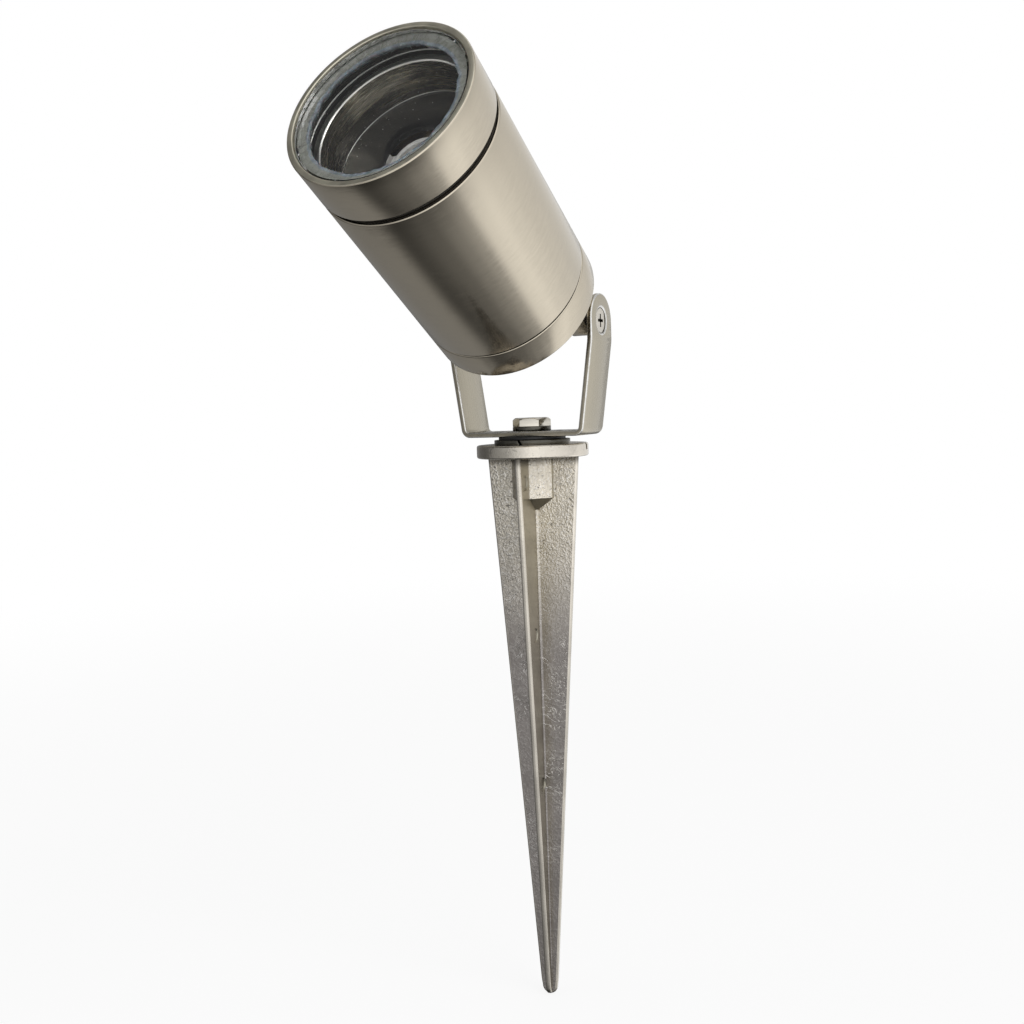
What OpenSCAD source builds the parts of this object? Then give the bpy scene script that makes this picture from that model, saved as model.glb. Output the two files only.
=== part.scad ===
// Garden spike spotlight: a machined round head that tilts in a strap yoke, which swivels on a cast
// spike. Z runs up the spike and X along the tilt pivot, and the head points to -Y. The origin is the
// middle of the flange's underside, level with the ground. All lengths are in millimetres.

/* [Head] */
// Outside diameter of the head
head_d = 64; // [60:1:76]
// Length of the middle tube, between its two shoulders
tube_len = 71.5; // [60:0.5:110]
// Wall of the tube's threaded neck and lamp room
neck_wall = 6.1; // [5.6:0.1:7]
// Wall of the tube behind the lamp room
tube_wall = 5; // [4.6:0.1:5.5]
// Chamfer on the turned outer edges
turned_chamfer = 0.35; // [0.2:0.05:0.6]
// Tilt of the head above the horizontal, as shown
head_tilt = 31.6; // [0:0.1:90]

/* [Front cap] */
// Length of the front cap
cap_len = 15.8; // [14:0.2:20]
// Width of the flat rim around the glass
rim_w = 2.1; // [1.6:0.1:3]
// Depth of the glass below the rim
glass_recess = 0.5; // [0.2:0.1:1.2]
// Thickness of the glass
glass_t = 4; // [3:0.5:5]
// Gap around the edge of the glass
glass_play = 0.3; // [0.2:0.05:0.5]
// Width of the ledge that the glass lies on
ledge_w = 2.9; // [2:0.1:4]
// Thickness of that ledge
ledge_t = 2.6; // [2:0.1:3.5]
// Thickness of the sealant film under the glass
film_t = 0.4; // [0.2:0.1:0.8]
// Width of the sealant bead inside the ledge
bead_w = 1.4; // [1:0.1:2]
// Height of that bead
bead_h = 1.2; // [0.8:0.1:1.6]

/* [Neck and lamp room] */
// Length of the threaded neck in front of the tube's shoulder
neck_len = 5.9; // [5:0.1:8]
// Wall of the front cap around the thread
cap_wall = 3; // [2.6:0.1:3.4]
// Radial play of the cap on the neck
thread_play = 0.3; // [0.2:0.05:0.4]
// Gap between tube and cap, filled by the front seal
front_gap = 1.9; // [1.2:0.1:3]
// Depth of the lamp room from the end of the neck to the plate
room_depth = 12.8; // [10:0.2:20]
// Thickness of the black plate at its bottom
plate_t = 2; // [1.5:0.1:3]
// Radial gap around that plate
plate_play = 0.15; // [0.1:0.05:0.3]
// Thickness of the snap ring behind the plate
clip_t = 1.5; // [1.2:0.1:2]
// Radial width of the snap ring
clip_w = 2.8; // [2:0.1:3.5]
// Depth that the snap ring enters the tube wall
clip_bite = 1.2; // [0.8:0.1:1.5]
// Opening between the ends of the snap ring
clip_mouth = 14; // [8:1:20]

/* [Lampholder] */
// Diameter of the round ceramic lampholder
holder_d = 20.8; // [18:0.2:22]
// Height of the lampholder
holder_h = 11; // [9:0.5:14]
// Wall of the raised rim on its front
holder_rim = 1.6; // [1.2:0.1:2]
// Depth inside that rim
holder_dish = 0.8; // [0.5:0.1:1.2]
// Gap around the lampholder in the plate's hole
holder_gap = 0.8; // [0.5:0.1:1.2]
// Set-back of the lampholder behind the plate
holder_back = 1.5; // [1:0.1:2]
// Distance between the two lamp pins
pin_pitch = 5.3; // [4:0.1:6.4]
// Outside diameter of a contact sleeve
contact_d = 2.3; // [2:0.1:2.6]
// Bore of a contact sleeve
contact_bore = 1.5; // [1.2:0.1:1.7]
// Width of the lampholder's fixing ears
holder_ear_w = 9; // [8:0.5:10]
// Distance between the lampholder's screws
holder_screw_pitch = 27; // [26:0.5:28]
// Thickness of the fixing ears
holder_ear_t = 5; // [4:0.5:6]

/* [Rear cap] */
// Length of the rear cap
rear_cap_len = 12.4; // [11:0.2:16]
// Seam between rear cap and tube, filled by the rear seal
rear_gap = 0.5; // [0.4:0.1:1]
// Length of the threaded spigot in the tube
rear_spigot = 7; // [5:0.5:10]
// Wall of that spigot
spigot_wall = 3.4; // [3:0.1:4]
// Wall of the tube around the spigot
socket_wall = 3.4; // [3:0.1:4]
// Play of the threads that are tightened for good
fixed_play = 0.05; // [0.02:0.01:0.1]
// Thickness of the rear cap's end wall
end_wall = 5.2; // [4.6:0.1:6]
// Distance of the tilt pivot behind the rear cap
pivot_back = 14.7; // [14:0.1:18]
// Width of the two pivot ears, which is twice the radius of their ends
ear_w = 10.4; // [9:0.2:12]
// Thickness of a pivot ear
ear_t = 7.9; // [6:0.1:9]

/* [Wiring] */
// Width of the terminal block
block_w = 18; // [17:0.5:20]
// Height of the terminal block
block_h = 12; // [11:0.5:13]
// Length of the terminal block
block_len = 16; // [14:0.5:18]
// Distance between its two poles
pole_pitch = 9; // [8.5:0.1:9.5]
// Outside diameter of a clamp barrel
barrel_d = 4.3; // [4:0.1:4.6]
// Bore of a clamp barrel
barrel_bore = 2.6; // [2.5:0.1:2.8]
// Diameter of a clamping screw
clamp_screw_d = 2.4; // [2:0.1:2.6]
// Distance between the clamping screws of one pole
clamp_screw_pitch = 8; // [7:0.5:9]
// Outside diameter of a lamp lead
lead_d = 1.8; // [1.4:0.1:1.8]
// Diameter of the crimped sleeve on each end of a lead
crimp_d = 2.3; // [2.2:0.1:2.4]
// Length of that sleeve outside the block or the lampholder
crimp_out = 2.5; // [1.5:0.5:4]
// Diameter of the bead that covers each crimp's end
bead_d = 3; // [2.7:0.1:3.6]
// Sheet of the bracket that holds the block
bracket_t = 1.2; // [1:0.1:1.6]
// Width of that bracket
bracket_w = 12; // [10:0.5:14]
// Length of the bracket's foot
bracket_foot = 13; // [12:0.5:14]
// Distance from the end wall to the block
block_back = 16; // [12:1:20]
// Diameter of the small inner screws
inner_screw_d = 3; // [2.5:0.1:3.2]
// Diameter of their heads
inner_head_d = 5.4; // [5:0.1:5.6]
// Height of their heads
inner_head_h = 1.8; // [1.4:0.1:2.2]

/* [Cable gland] */
// Diameter of the gland's thread
gland_thread_d = 12; // [10:0.5:13]
// Width across the flats of the gland's hexagon
gland_flats = 15; // [14:0.5:17]
// Height of the gland's hexagon
gland_hex_h = 3.5; // [3:0.5:5]
// Thickness of the gland's sealing ring
gland_ring_t = 0.8; // [0.6:0.1:1.2]
// Diameter of the collar that the nut screws on
gland_collar_d = 11.2; // [10.6:0.1:11.4]
// Length of the clamping nut
gland_nut_len = 8; // [7:0.5:10]
// Outside diameter of the clamping nut
gland_nut_d = 14.4; // [14:0.1:15]
// Bore of the metal parts, which the cable passes
gland_bore = 8.2; // [7.9:0.1:8.6]
// Bore of the rubber sleeve, which grips the cable
cable_bore = 7.5; // [6:0.1:7.6]
// Outside diameter of the rubber sleeve
sleeve_d = 9.8; // [9.4:0.1:10]
// Length of the rubber sleeve
sleeve_len = 5.6; // [5:0.1:6.4]

/* [Yoke] */
// Width of the strap
strap_w = 20; // [16:1:21]
// Thickness of the strap
strap_t = 2; // [1.8:0.1:2.5]
// Outside width across the upright tops of the arms
yoke_span = 60.2; // [59:0.2:64]
// How far each arm leans out from the bottom of the yoke to the span
arm_lean = 4.9; // [3:0.1:7]
// Height above the yoke's underside of the slight bend where the arms turn upright
arm_bend_rise = 34.9; // [30:0.1:36]
// Height of the pivot above the yoke's underside
pivot_rise = 42.3; // [41:0.1:50]
// Inside radius of the bottom bends
bend_r = 1.5; // [1:0.1:3]
// Inside radius of the slight bend where the arms turn upright
top_bend_r = 20; // [10:1:30]
// Distance between the two large fixing holes
fix_pitch = 33.4; // [32:0.2:34]
// Diameter of the large fixing holes
fix_hole_d = 6.8; // [5:0.1:7]
// Distance between the two small holes
pilot_pitch = 20; // [19.4:0.2:20.6]
// Diameter of the small holes
pilot_hole_d = 3.4; // [2:0.1:3.6]

/* [Pivot screws] */
// Diameter of the pivot screws
pivot_d = 5; // [4:0.1:6]
// Head diameter of the pivot screws
pivot_head_d = 9.2; // [8.6:0.1:10]
// Length of the pivot screws
pivot_screw_len = 10.5; // [9:0.5:11]
// Running clearance of pins in their holes
pin_play = 0.05; // [0.02:0.01:0.08]
// Extra width of the countersink around the head
sink_margin = 1; // [0.6:0.1:1.2]
// Width of the cross recess
cross_w = 1; // [0.8:0.1:1.2]
// Length of the cross recess
cross_len = 4.8; // [4:0.1:5.4]
// Depth of the cross recess
cross_depth = 1.4; // [1:0.1:1.8]
// Diameter of the pivot washers
pivot_washer_d = 13; // [11:0.5:15]
// Thickness of the pivot washers
pivot_washer_t = 1.5; // [1:0.1:2]

/* [Swivel] */
// Diameter of the swivel bolt
bolt_d = 8; // [6:0.1:8]
// Width across the flats of its head
bolt_flats = 13; // [11:0.5:14]
// Height of its head
bolt_head_h = 3.4; // [3:0.1:5.5]
// Length of the bolt under its head
bolt_len = 20; // [16:1:22]
// Outside diameter of the spring washer under the head
lock_d = 14.8; // [13:0.1:15.4]
// Thickness of that spring washer
lock_t = 1.7; // [1.4:0.1:2.2]
// Width of the split in the washer and the ring
split_w = 0.8; // [0.5:0.1:1.2]
// Diameter of the rubber disc under the yoke
rubber_d = 25.9; // [22:0.1:27]
// Thickness of the rubber disc
rubber_t = 1.2; // [1:0.1:2]
// Outside diameter of the spring ring on the spike
ring_d = 29.4; // [28:0.1:32]
// Inside diameter of the spring ring
ring_bore = 17; // [12:0.5:20]
// Thickness of the spring ring
ring_t = 1.8; // [1.4:0.1:2.4]

/* [Spike] */
// Diameter of the round flange
flange_d = 43.2; // [40:0.2:50]
// Thickness of the flange
flange_t = 5; // [4:0.1:7]
// Rounding of the flange's edges
flange_round = 0.8; // [0.4:0.1:1.2]
// Length of the blade below the flange
blade_len = 217; // [150:1:300]
// Width across two fins under the flange
fin_top_w = 36.9; // [34:0.1:39]
// Width across two fins where the point begins
fin_low_w = 7; // [6:0.1:9]
// Length of the rounded point
point_len = 6; // [5:0.5:9]
// Thickness of the fins at their outer edge
fin_t = 2.2; // [1.8:0.1:3]
// Turn of the fins about the upright axis
fin_turn = 6; // [-45:1:45]
// Side of the square boss under the flange
boss_w = 12; // [11:0.1:14]
// Height of the straight part of the boss
boss_h = 15.8; // [12:0.1:20]
// Diameter of the round ejector marks on the fins
mark_d = 5.8; // [4:0.1:6]
// Depth of those marks
mark_depth = 0.2; // [0.1:0.05:0.3]

/* [Hidden] */
$fn = 96;
// Overrun of every cut past the face that it opens
over = 1;
// Heights up the swivel axis
flange_top = flange_t;
yoke_z = flange_top + ring_t + rubber_t;
base_top = yoke_z + strap_t;
// Outside width across the bottom of the yoke
yoke_base = yoke_span - 2 * arm_lean;
pivot_z = yoke_z + pivot_rise;
// Stations along the head's axis, measured from the tilt pivot
s_back = pivot_back;
s_floor = s_back + end_wall;
s_rear_seam = s_back + rear_cap_len;
s_tube = s_rear_seam + rear_gap;
s_spigot = s_rear_seam + rear_spigot;
s_shoulder = s_tube + tube_len;
s_cap = s_shoulder + front_gap;
s_face = s_cap + cap_len;
s_glass = s_face - glass_recess - glass_t;
s_ledge = s_glass - film_t;
s_neck = s_shoulder + neck_len;
s_plate = s_neck - room_depth;
s_plate_back = s_plate - plate_t;
s_holder = s_plate_back - holder_back;
s_holder_back = s_holder - holder_h;
s_block = s_floor + block_back;
s_block_front = s_block + block_len;
// Radii in the head
head_r = head_d / 2;
room_r = head_r - neck_wall;
tube_bore_r = head_r - tube_wall;
socket_r = head_r - socket_wall;
cap_bore_r = head_r - cap_wall;
neck_r = cap_bore_r - thread_play;
recess_r = head_r - rim_w;
glass_r = recess_r - glass_play;
ledge_r = recess_r - ledge_w;
spigot_r = socket_r - fixed_play;
clip_r = tube_bore_r + clip_bite;
// The bead lies inside the ledge, clear of its wall
bead_r = ledge_r - glass_play;
// Seals stop short of the turned surface, inside its chamfers
seal_r = head_r - 2 * turned_chamfer;
// Places across the pivot
arm_in = yoke_span / 2 - strap_t;
ear_out = arm_in - pivot_washer_t;
ear_in = ear_out - ear_t;
// The terminal block stands on the bracket, which clears the gland's thread
bracket_y = -(gland_thread_d / 2 + inner_head_d / 2);
// Depth of a blind tapped hole
tap_depth = end_wall - bracket_t;
block_mid_s = s_block + block_len / 2;
block_mid_y = bracket_y + block_h / 2;
foot_screw_y = bracket_y - bracket_foot / 2;
// Height of a clamping screw's tip above its barrel's axis, where it presses on the lead
clamp_tip = crimp_d / 2 + fixed_play;
// Stations of the cable gland, from the rear cap outwards
s_hex = s_back - gland_ring_t;
s_gland_nut = s_hex - gland_hex_h;
collar_len = gland_nut_len * 0.75;
s_collar = s_gland_nut - collar_len;
// A countersunk head lies this deep in its countersink, and its cone ends with the strap
sink_depth = sink_margin / 2 - 2 * pin_play;
pivot_head_h = strap_t - sink_depth;
// Turn of the bolt's hexagon and of the two splits, as they were tightened
BOLT_TURN = 16;
WASHER_TURN = 150;
RING_TURN = 186;
// Steps of the slight bend in the yoke's arms
BEND_STEPS = 5;
// Marks on a fin, as shares of the blade's length down and of the fin's half width there
MARK_SHARES = [[0.044, 0.73], [0.318, 0.5], [0.596, 0.43]];

// Places children in the head's frame: Z along the head, origin on the tilt pivot
module in_head() {
    translate([0, 0, pivot_z]) rotate([90 - head_tilt, 0, 0]) children();
}

// A plain ring about Z between two heights
module ring(r_out, r_in, z0, z1) {
    translate([0, 0, z0]) difference() {
        cylinder(r = r_out, h = z1 - z0);
        translate([0, 0, -over]) cylinder(r = r_in, h = z1 - z0 + 2 * over);
    }
}

// A hexagon of a given width across flats, with its upper corners turned off
module hex_block(flats, h) {
    corner = flats / sqrt(3);
    intersection() {
        cylinder(r = corner, h = h, $fn = 6);
        cylinder(r1 = corner + h, r2 = flats * 0.485, h = h);
    }
}

// A copy on each side of the YZ plane
module both_sides() {
    children();
    mirror([1, 0, 0]) children();
}

// Front cap: outer wall, recess and ledge for the glass, and threaded bore
module front_cap() {
    c = turned_chamfer;
    color([0.63, 0.61, 0.56]) in_head() rotate_extrude() polygon([
        [cap_bore_r, s_cap], [head_r - c, s_cap], [head_r, s_cap + c], [head_r, s_face - c],
        [head_r - c, s_face], [recess_r, s_face], [recess_r, s_ledge], [ledge_r, s_ledge],
        [ledge_r, s_ledge - ledge_t], [cap_bore_r, s_ledge - ledge_t]]);
}

module lens_glass() {
    color([0.85, 0.9, 0.9, 0.3]) in_head() translate([0, 0, s_glass]) cylinder(r = glass_r, h = glass_t);
}

// Sealant: a film on the ledge and the bead squeezed out inside it
module lens_sealant() {
    color([0.7, 0.78, 0.85]) in_head() rotate_extrude() polygon([
        [bead_r - bead_w, s_ledge - bead_h], [bead_r, s_ledge - bead_h], [bead_r, s_ledge],
        [glass_r, s_ledge], [glass_r, s_glass], [bead_r - bead_w, s_glass]]);
}

module front_seal() {
    round_r = front_gap / 4;
    color([0.05, 0.05, 0.05]) in_head() rotate_extrude() {
        translate([neck_r + fixed_play, s_shoulder])
            square([seal_r - round_r - neck_r - fixed_play, front_gap]);
        translate([neck_r + fixed_play, s_shoulder + round_r])
            square([seal_r - neck_r - fixed_play, front_gap - 2 * round_r]);
        for (s = [s_shoulder + round_r, s_cap - round_r]) translate([seal_r - round_r, s]) circle(r = round_r);
    }
}

// Tube: neck, lamp room, shoulder for the plate, clip groove, long bore and rear socket
module body_tube() {
    c = turned_chamfer;
    groove_top = s_plate_back + fixed_play;
    groove_low = s_plate_back - clip_t - fixed_play;
    color([0.63, 0.61, 0.56]) in_head() rotate_extrude() polygon([
        [room_r, s_neck], [neck_r - c, s_neck], [neck_r, s_neck - c], [neck_r, s_shoulder],
        [head_r - c, s_shoulder], [head_r, s_shoulder - c], [head_r, s_tube + c], [head_r - c, s_tube],
        [socket_r, s_tube], [socket_r, s_spigot + over], [tube_bore_r, s_spigot + over],
        [tube_bore_r, groove_low], [clip_r + fixed_play, groove_low], [clip_r + fixed_play, groove_top],
        [tube_bore_r, groove_top], [tube_bore_r, s_plate], [room_r, s_plate]]);
}

module rear_seal() {
    color([0.05, 0.05, 0.05]) in_head() ring(seal_r, spigot_r + fixed_play, s_rear_seam, s_tube);
}

// One pivot ear: a plate with a round end about the pivot, standing on the rear cap
module pivot_ear() {
    translate([ear_in, 0, 0]) rotate([90, 0, 90]) linear_extrude(ear_t) {
        circle(d = ear_w);
        translate([-ear_w / 2, 0]) square([ear_w, s_back + end_wall / 2]);
    }
}

// Rear cap: turned cup with the threaded spigot, the two ears and the tapped holes
module rear_cap() {
    c = turned_chamfer;
    color([0.63, 0.61, 0.56]) in_head() difference() {
        union() {
            rotate_extrude() polygon([
                [0, s_back], [head_r - c, s_back], [head_r, s_back + c], [head_r, s_rear_seam - c],
                [head_r - c, s_rear_seam], [spigot_r, s_rear_seam], [spigot_r, s_spigot - c],
                [spigot_r - c, s_spigot], [spigot_r - spigot_wall, s_spigot],
                [spigot_r - spigot_wall, s_floor], [0, s_floor]]);
            both_sides() pivot_ear();
        }
        translate([0, 0, s_back - over]) cylinder(d = gland_thread_d, h = end_wall + 2 * over);
        translate([-ear_out - over, 0, 0]) rotate([0, 90, 0])
            cylinder(d = pivot_d + 2 * pin_play, h = 2 * (ear_out + over));
        translate([0, foot_screw_y, s_floor - tap_depth]) cylinder(d = inner_screw_d, h = end_wall);
    }
}

// Plate at the bottom of the lamp room, with its hole for the lampholder
module lamp_plate() {
    screw_depth = plate_t * 0.8;
    color([0.03, 0.03, 0.03]) in_head() difference() {
        ring(tube_bore_r - plate_play, holder_d / 2 + holder_gap, s_plate_back, s_plate);
        for (x = [-1, 1] * holder_screw_pitch / 2) translate([x, 0, s_plate_back - over])
            cylinder(d = inner_screw_d, h = screw_depth + over);
    }
}

// Snap ring with its two eyes, open at the bottom
module plate_circlip() {
    eye_r = clip_w * 0.6;
    mid_r = clip_r - clip_w;
    color([0.2, 0.2, 0.2]) in_head() translate([0, 0, s_plate_back - clip_t]) difference() {
        union() {
            ring(clip_r, clip_r - clip_w, 0, clip_t);
            both_sides() rotate([0, 0, -90 + eye_angle()]) translate([mid_r, 0, 0])
                cylinder(r = eye_r, h = clip_t);
        }
        translate([-clip_mouth / 2, -clip_r - over, -over]) cube([clip_mouth, clip_w + eye_r + 2 * over,
            clip_t + 2 * over]);
        both_sides() rotate([0, 0, -90 + eye_angle()]) translate([mid_r, 0, -over])
            cylinder(r = eye_r / 2, h = clip_t + 2 * over);
    }
}

// Angle of a snap ring's eye from the middle of its mouth
function eye_angle() = asin((clip_mouth / 2 + clip_w * 0.6) / (clip_r - clip_w));

// Ceramic lampholder: round block with a rim, pin holes and two fixing ears
module lampholder() {
    ear_len = holder_screw_pitch + holder_ear_w;
    color([0.93, 0.92, 0.88]) in_head() difference() {
        union() {
            translate([0, 0, s_holder_back]) cylinder(d = holder_d, h = holder_h);
            for (x = [-1, 1] * holder_screw_pitch / 2) translate([x, 0, s_plate_back - holder_ear_t])
                cylinder(d = holder_ear_w, h = holder_ear_t);
            difference() {
                translate([-ear_len / 2 + holder_ear_w / 2, -holder_ear_w / 2, s_plate_back - holder_ear_t])
                    cube([ear_len - holder_ear_w, holder_ear_w, holder_ear_t]);
                translate([0, 0, s_holder]) cylinder(r = holder_d / 2 + holder_gap, h = holder_back + over);
            }
        }
        translate([0, 0, s_holder - holder_dish])
            cylinder(r = holder_d / 2 - holder_rim, h = holder_dish + over);
        for (x = [-1, 1] * pin_pitch / 2) translate([x, 0, s_holder_back - over])
            cylinder(r = contact_d / 2 + fixed_play, h = holder_h + 2 * over);
        for (x = [-1, 1] * holder_screw_pitch / 2) translate([x, 0, s_plate_back - holder_ear_t - over])
            cylinder(r = inner_screw_d / 2 + fixed_play, h = holder_ear_t + 2 * over);
    }
}

// Two brass sleeves, set a little below the ceramic's face
module lampholder_contacts() {
    color([0.75, 0.6, 0.25]) in_head() for (x = [-1, 1] * pin_pitch / 2) translate([x, 0, 0])
        ring(contact_d / 2, contact_bore / 2, s_holder_back, s_holder - holder_dish - holder_rim / 4);
}

// A small pan-head screw that points up, with its head below height zero
module small_screw(len) {
    difference() {
        union() {
            translate([0, 0, -inner_head_h]) cylinder(d = inner_head_d, h = inner_head_h);
            cylinder(d = inner_screw_d - 2 * fixed_play, h = len);
        }
        translate([-inner_head_d / 2 - over, -cross_w / 2, -inner_head_h - over])
            cube([inner_head_d + 2 * over, cross_w, inner_head_h / 2 + over]);
    }
}

module holder_screws() {
    color([0.6, 0.6, 0.6]) in_head() for (x = [-1, 1] * holder_screw_pitch / 2)
        translate([x, 0, s_plate_back - holder_ear_t]) small_screw(holder_ear_t + plate_t * 0.75);
}

// Two sleeved leads with crimped ends, from the clamp barrels to the contacts
module lamp_leads() {
    start = block_mid_s + clamp_screw_pitch / 2 - clamp_screw_d;
    low = [pole_pitch / 2, block_mid_y, s_block_front + crimp_out];
    high = [pin_pitch / 2, 0, s_holder_back - crimp_out];
    run = high - low;
    color([0.75, 0.72, 0.68]) in_head() both_sides() {
        translate([low.x, low.y, start]) cylinder(d = crimp_d, h = low.z - start);
        translate([high.x, high.y, high.z]) cylinder(d = crimp_d, h = crimp_out);
        translate(low) rotate([0, atan2(norm([run.x, run.y]), run.z), atan2(run.y, run.x)])
            cylinder(d = lead_d, h = norm(run));
        for (end = [low, high]) translate(end) sphere(d = bead_d, $fn = 32);
    }
}

module terminal_block() {
    color([0.9, 0.9, 0.85]) in_head() difference() {
        translate([-block_w / 2, bracket_y, s_block]) cube([block_w, block_h, block_len]);
        for (x = [-1, 1] * pole_pitch / 2) {
            translate([x, block_mid_y, s_block - over])
                cylinder(r = barrel_d / 2 + fixed_play, h = block_len + 2 * over);
            for (s = [-1, 1] * clamp_screw_pitch / 2) translate([x, block_mid_y, block_mid_s + s])
                rotate([-90, 0, 0]) cylinder(r = clamp_screw_d / 2 + 2 * fixed_play, h = block_h);
        }
        translate([0, bracket_y - over, block_mid_s]) rotate([-90, 0, 0])
            cylinder(d = inner_screw_d, h = block_h / 2 + over);
    }
}

module terminal_clamps() {
    color([0.75, 0.6, 0.25]) in_head() for (x = [-1, 1] * pole_pitch / 2) difference() {
        translate([x, block_mid_y, 0])
            ring(barrel_d / 2, barrel_bore / 2, s_block + fixed_play, s_block_front - fixed_play);
        for (s = [-1, 1] * clamp_screw_pitch / 2) translate([x, block_mid_y, block_mid_s + s])
            rotate([-90, 0, 0]) cylinder(r = clamp_screw_d / 2 + fixed_play, h = barrel_d);
    }
}

// Four slotted clamping screws, each standing in its barrel
module terminal_screws() {
    tip = block_mid_y + clamp_tip;
    len = block_h / 2 - clamp_tip - clamp_screw_d / 4;
    color([0.7, 0.7, 0.7]) in_head() for (x = [-1, 1] * pole_pitch / 2)
        for (s = [-1, 1] * clamp_screw_pitch / 2) translate([x, tip, block_mid_s + s])
            rotate([-90, 0, 0]) difference() {
                cylinder(d = clamp_screw_d, h = len);
                translate([-clamp_screw_d, -clamp_screw_d / 8, len - clamp_screw_d / 4])
                    cube([2 * clamp_screw_d, clamp_screw_d / 4, clamp_screw_d]);
            }
}

// Angle bracket: a foot on the end wall and an upright under the terminal block
module terminal_bracket() {
    color([0.7, 0.7, 0.72]) in_head() difference() {
        union() {
            translate([-bracket_w / 2, bracket_y - bracket_foot, s_floor])
                cube([bracket_w, bracket_foot, bracket_t]);
            translate([-bracket_w / 2, bracket_y - bracket_t, s_floor])
                cube([bracket_w, bracket_t, block_back + block_len]);
        }
        translate([0, foot_screw_y, s_floor - over])
            cylinder(r = inner_screw_d / 2 + fixed_play, h = bracket_t + 2 * over);
        translate([0, bracket_y - bracket_t - over, block_mid_s]) rotate([-90, 0, 0])
            cylinder(r = inner_screw_d / 2 + fixed_play, h = bracket_t + 2 * over);
    }
}

module bracket_screws() {
    color([0.6, 0.6, 0.6]) in_head() {
        translate([0, foot_screw_y, s_floor + bracket_t]) rotate([180, 0, 0]) small_screw(tap_depth);
        translate([0, bracket_y - bracket_t, block_mid_s]) rotate([-90, 0, 0])
            small_screw(bracket_t + block_h * 0.4);
    }
}

// Gland body: thread in the end wall, hexagon outside and collar for the nut
module gland_body() {
    inner_end = s_floor + bracket_t;
    color([0.62, 0.6, 0.56]) in_head() difference() {
        union() {
            translate([0, 0, s_gland_nut]) cylinder(r = gland_thread_d / 2 - fixed_play,
                h = inner_end - s_gland_nut);
            translate([0, 0, s_gland_nut])
                cylinder(d = gland_flats * 2 / sqrt(3), h = gland_hex_h, $fn = 6);
            translate([0, 0, s_collar]) cylinder(d = gland_collar_d, h = collar_len + gland_hex_h / 2);
        }
        translate([0, 0, s_collar - over]) cylinder(d = gland_bore, h = inner_end - s_collar + 2 * over);
        translate([0, 0, s_collar - over]) cylinder(r = sleeve_d / 2 + fixed_play, h = sleeve_len + over);
    }
}

module gland_o_ring() {
    color([0.05, 0.05, 0.05]) in_head() ring(gland_flats / 2, gland_thread_d / 2, s_hex, s_back);
}

// Rubber sleeve, from the end of the collar inwards, where the nut presses on it
module gland_seal() {
    color([0.08, 0.08, 0.08]) in_head() ring(sleeve_d / 2, cable_bore / 2, s_collar, s_collar + sleeve_len);
}

// Clamping nut with a rounded end
module gland_nut() {
    round_r = gland_nut_len / 4;
    low = s_gland_nut - gland_nut_len;
    color([0.62, 0.6, 0.56]) in_head() rotate_extrude() difference() {
        union() {
            translate([0, low]) square([gland_nut_d / 2 - round_r, gland_nut_len]);
            translate([0, low + round_r]) square([gland_nut_d / 2, gland_nut_len - round_r]);
            translate([gland_nut_d / 2 - round_r, low + round_r]) circle(r = round_r);
        }
        translate([0, low - over]) square([gland_bore / 2, gland_nut_len + 2 * over]);
        translate([0, s_collar]) square([gland_collar_d / 2 + fixed_play, gland_nut_len]);
    }
}

// Sector of a flat ring about the origin, from the X axis up to an angle
module sector(r_in, r_out, angle) {
    far = 2 * r_out;
    intersection() {
        difference() {
            circle(r = r_out);
            circle(r = r_in);
        }
        square(far);
        rotate(angle) translate([0, -far]) square(far);
    }
}

// Points along a bend by an angle at a radius about a centre, from the first to the last
function bend_points(centre, r, angle) =
    [for (i = [0 : BEND_STEPS]) centre + r * [cos(angle * i / BEND_STEPS), sin(angle * i / BEND_STEPS)]];

// Side view of one arm: flat half base, bottom bend, flared run, slight bend and upright top.
// The stretch above the bottom bend is drawn in the frame that this bend ends in.
module arm_profile() {
    // The flared run leans from the base's full width to the span over the height of the slight bend
    flare = atan(arm_lean / arm_bend_rise);
    turn = 90 - flare;
    low_r = bend_r + strap_t;
    top_r = top_bend_r + strap_t;
    // The flared run's outer line leaves the base at its full width
    tangent = low_r * tan(turn / 2);
    flat_end = yoke_base / 2 - tangent;
    // The slight bend brings that line upright at half the span
    run = arm_bend_rise / cos(flare) - tangent - top_r * tan(flare / 2);
    outer = bend_points([strap_t - top_r, run], top_r, flare);
    inner = bend_points([strap_t - top_r, run], top_bend_r, flare);
    rest = pivot_rise * [-sin(flare), cos(flare)];
    square([flat_end, strap_t]);
    translate([flat_end, low_r]) rotate(-90) {
        sector(bend_r, low_r, turn);
        rotate(turn) translate([bend_r, 0]) polygon([[0, 0], [strap_t, 0], each outer,
            outer[BEND_STEPS] + rest, inner[BEND_STEPS] + rest, each [for (i = [BEND_STEPS : -1 : 0]) inner[i]]]);
    }
}

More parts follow.
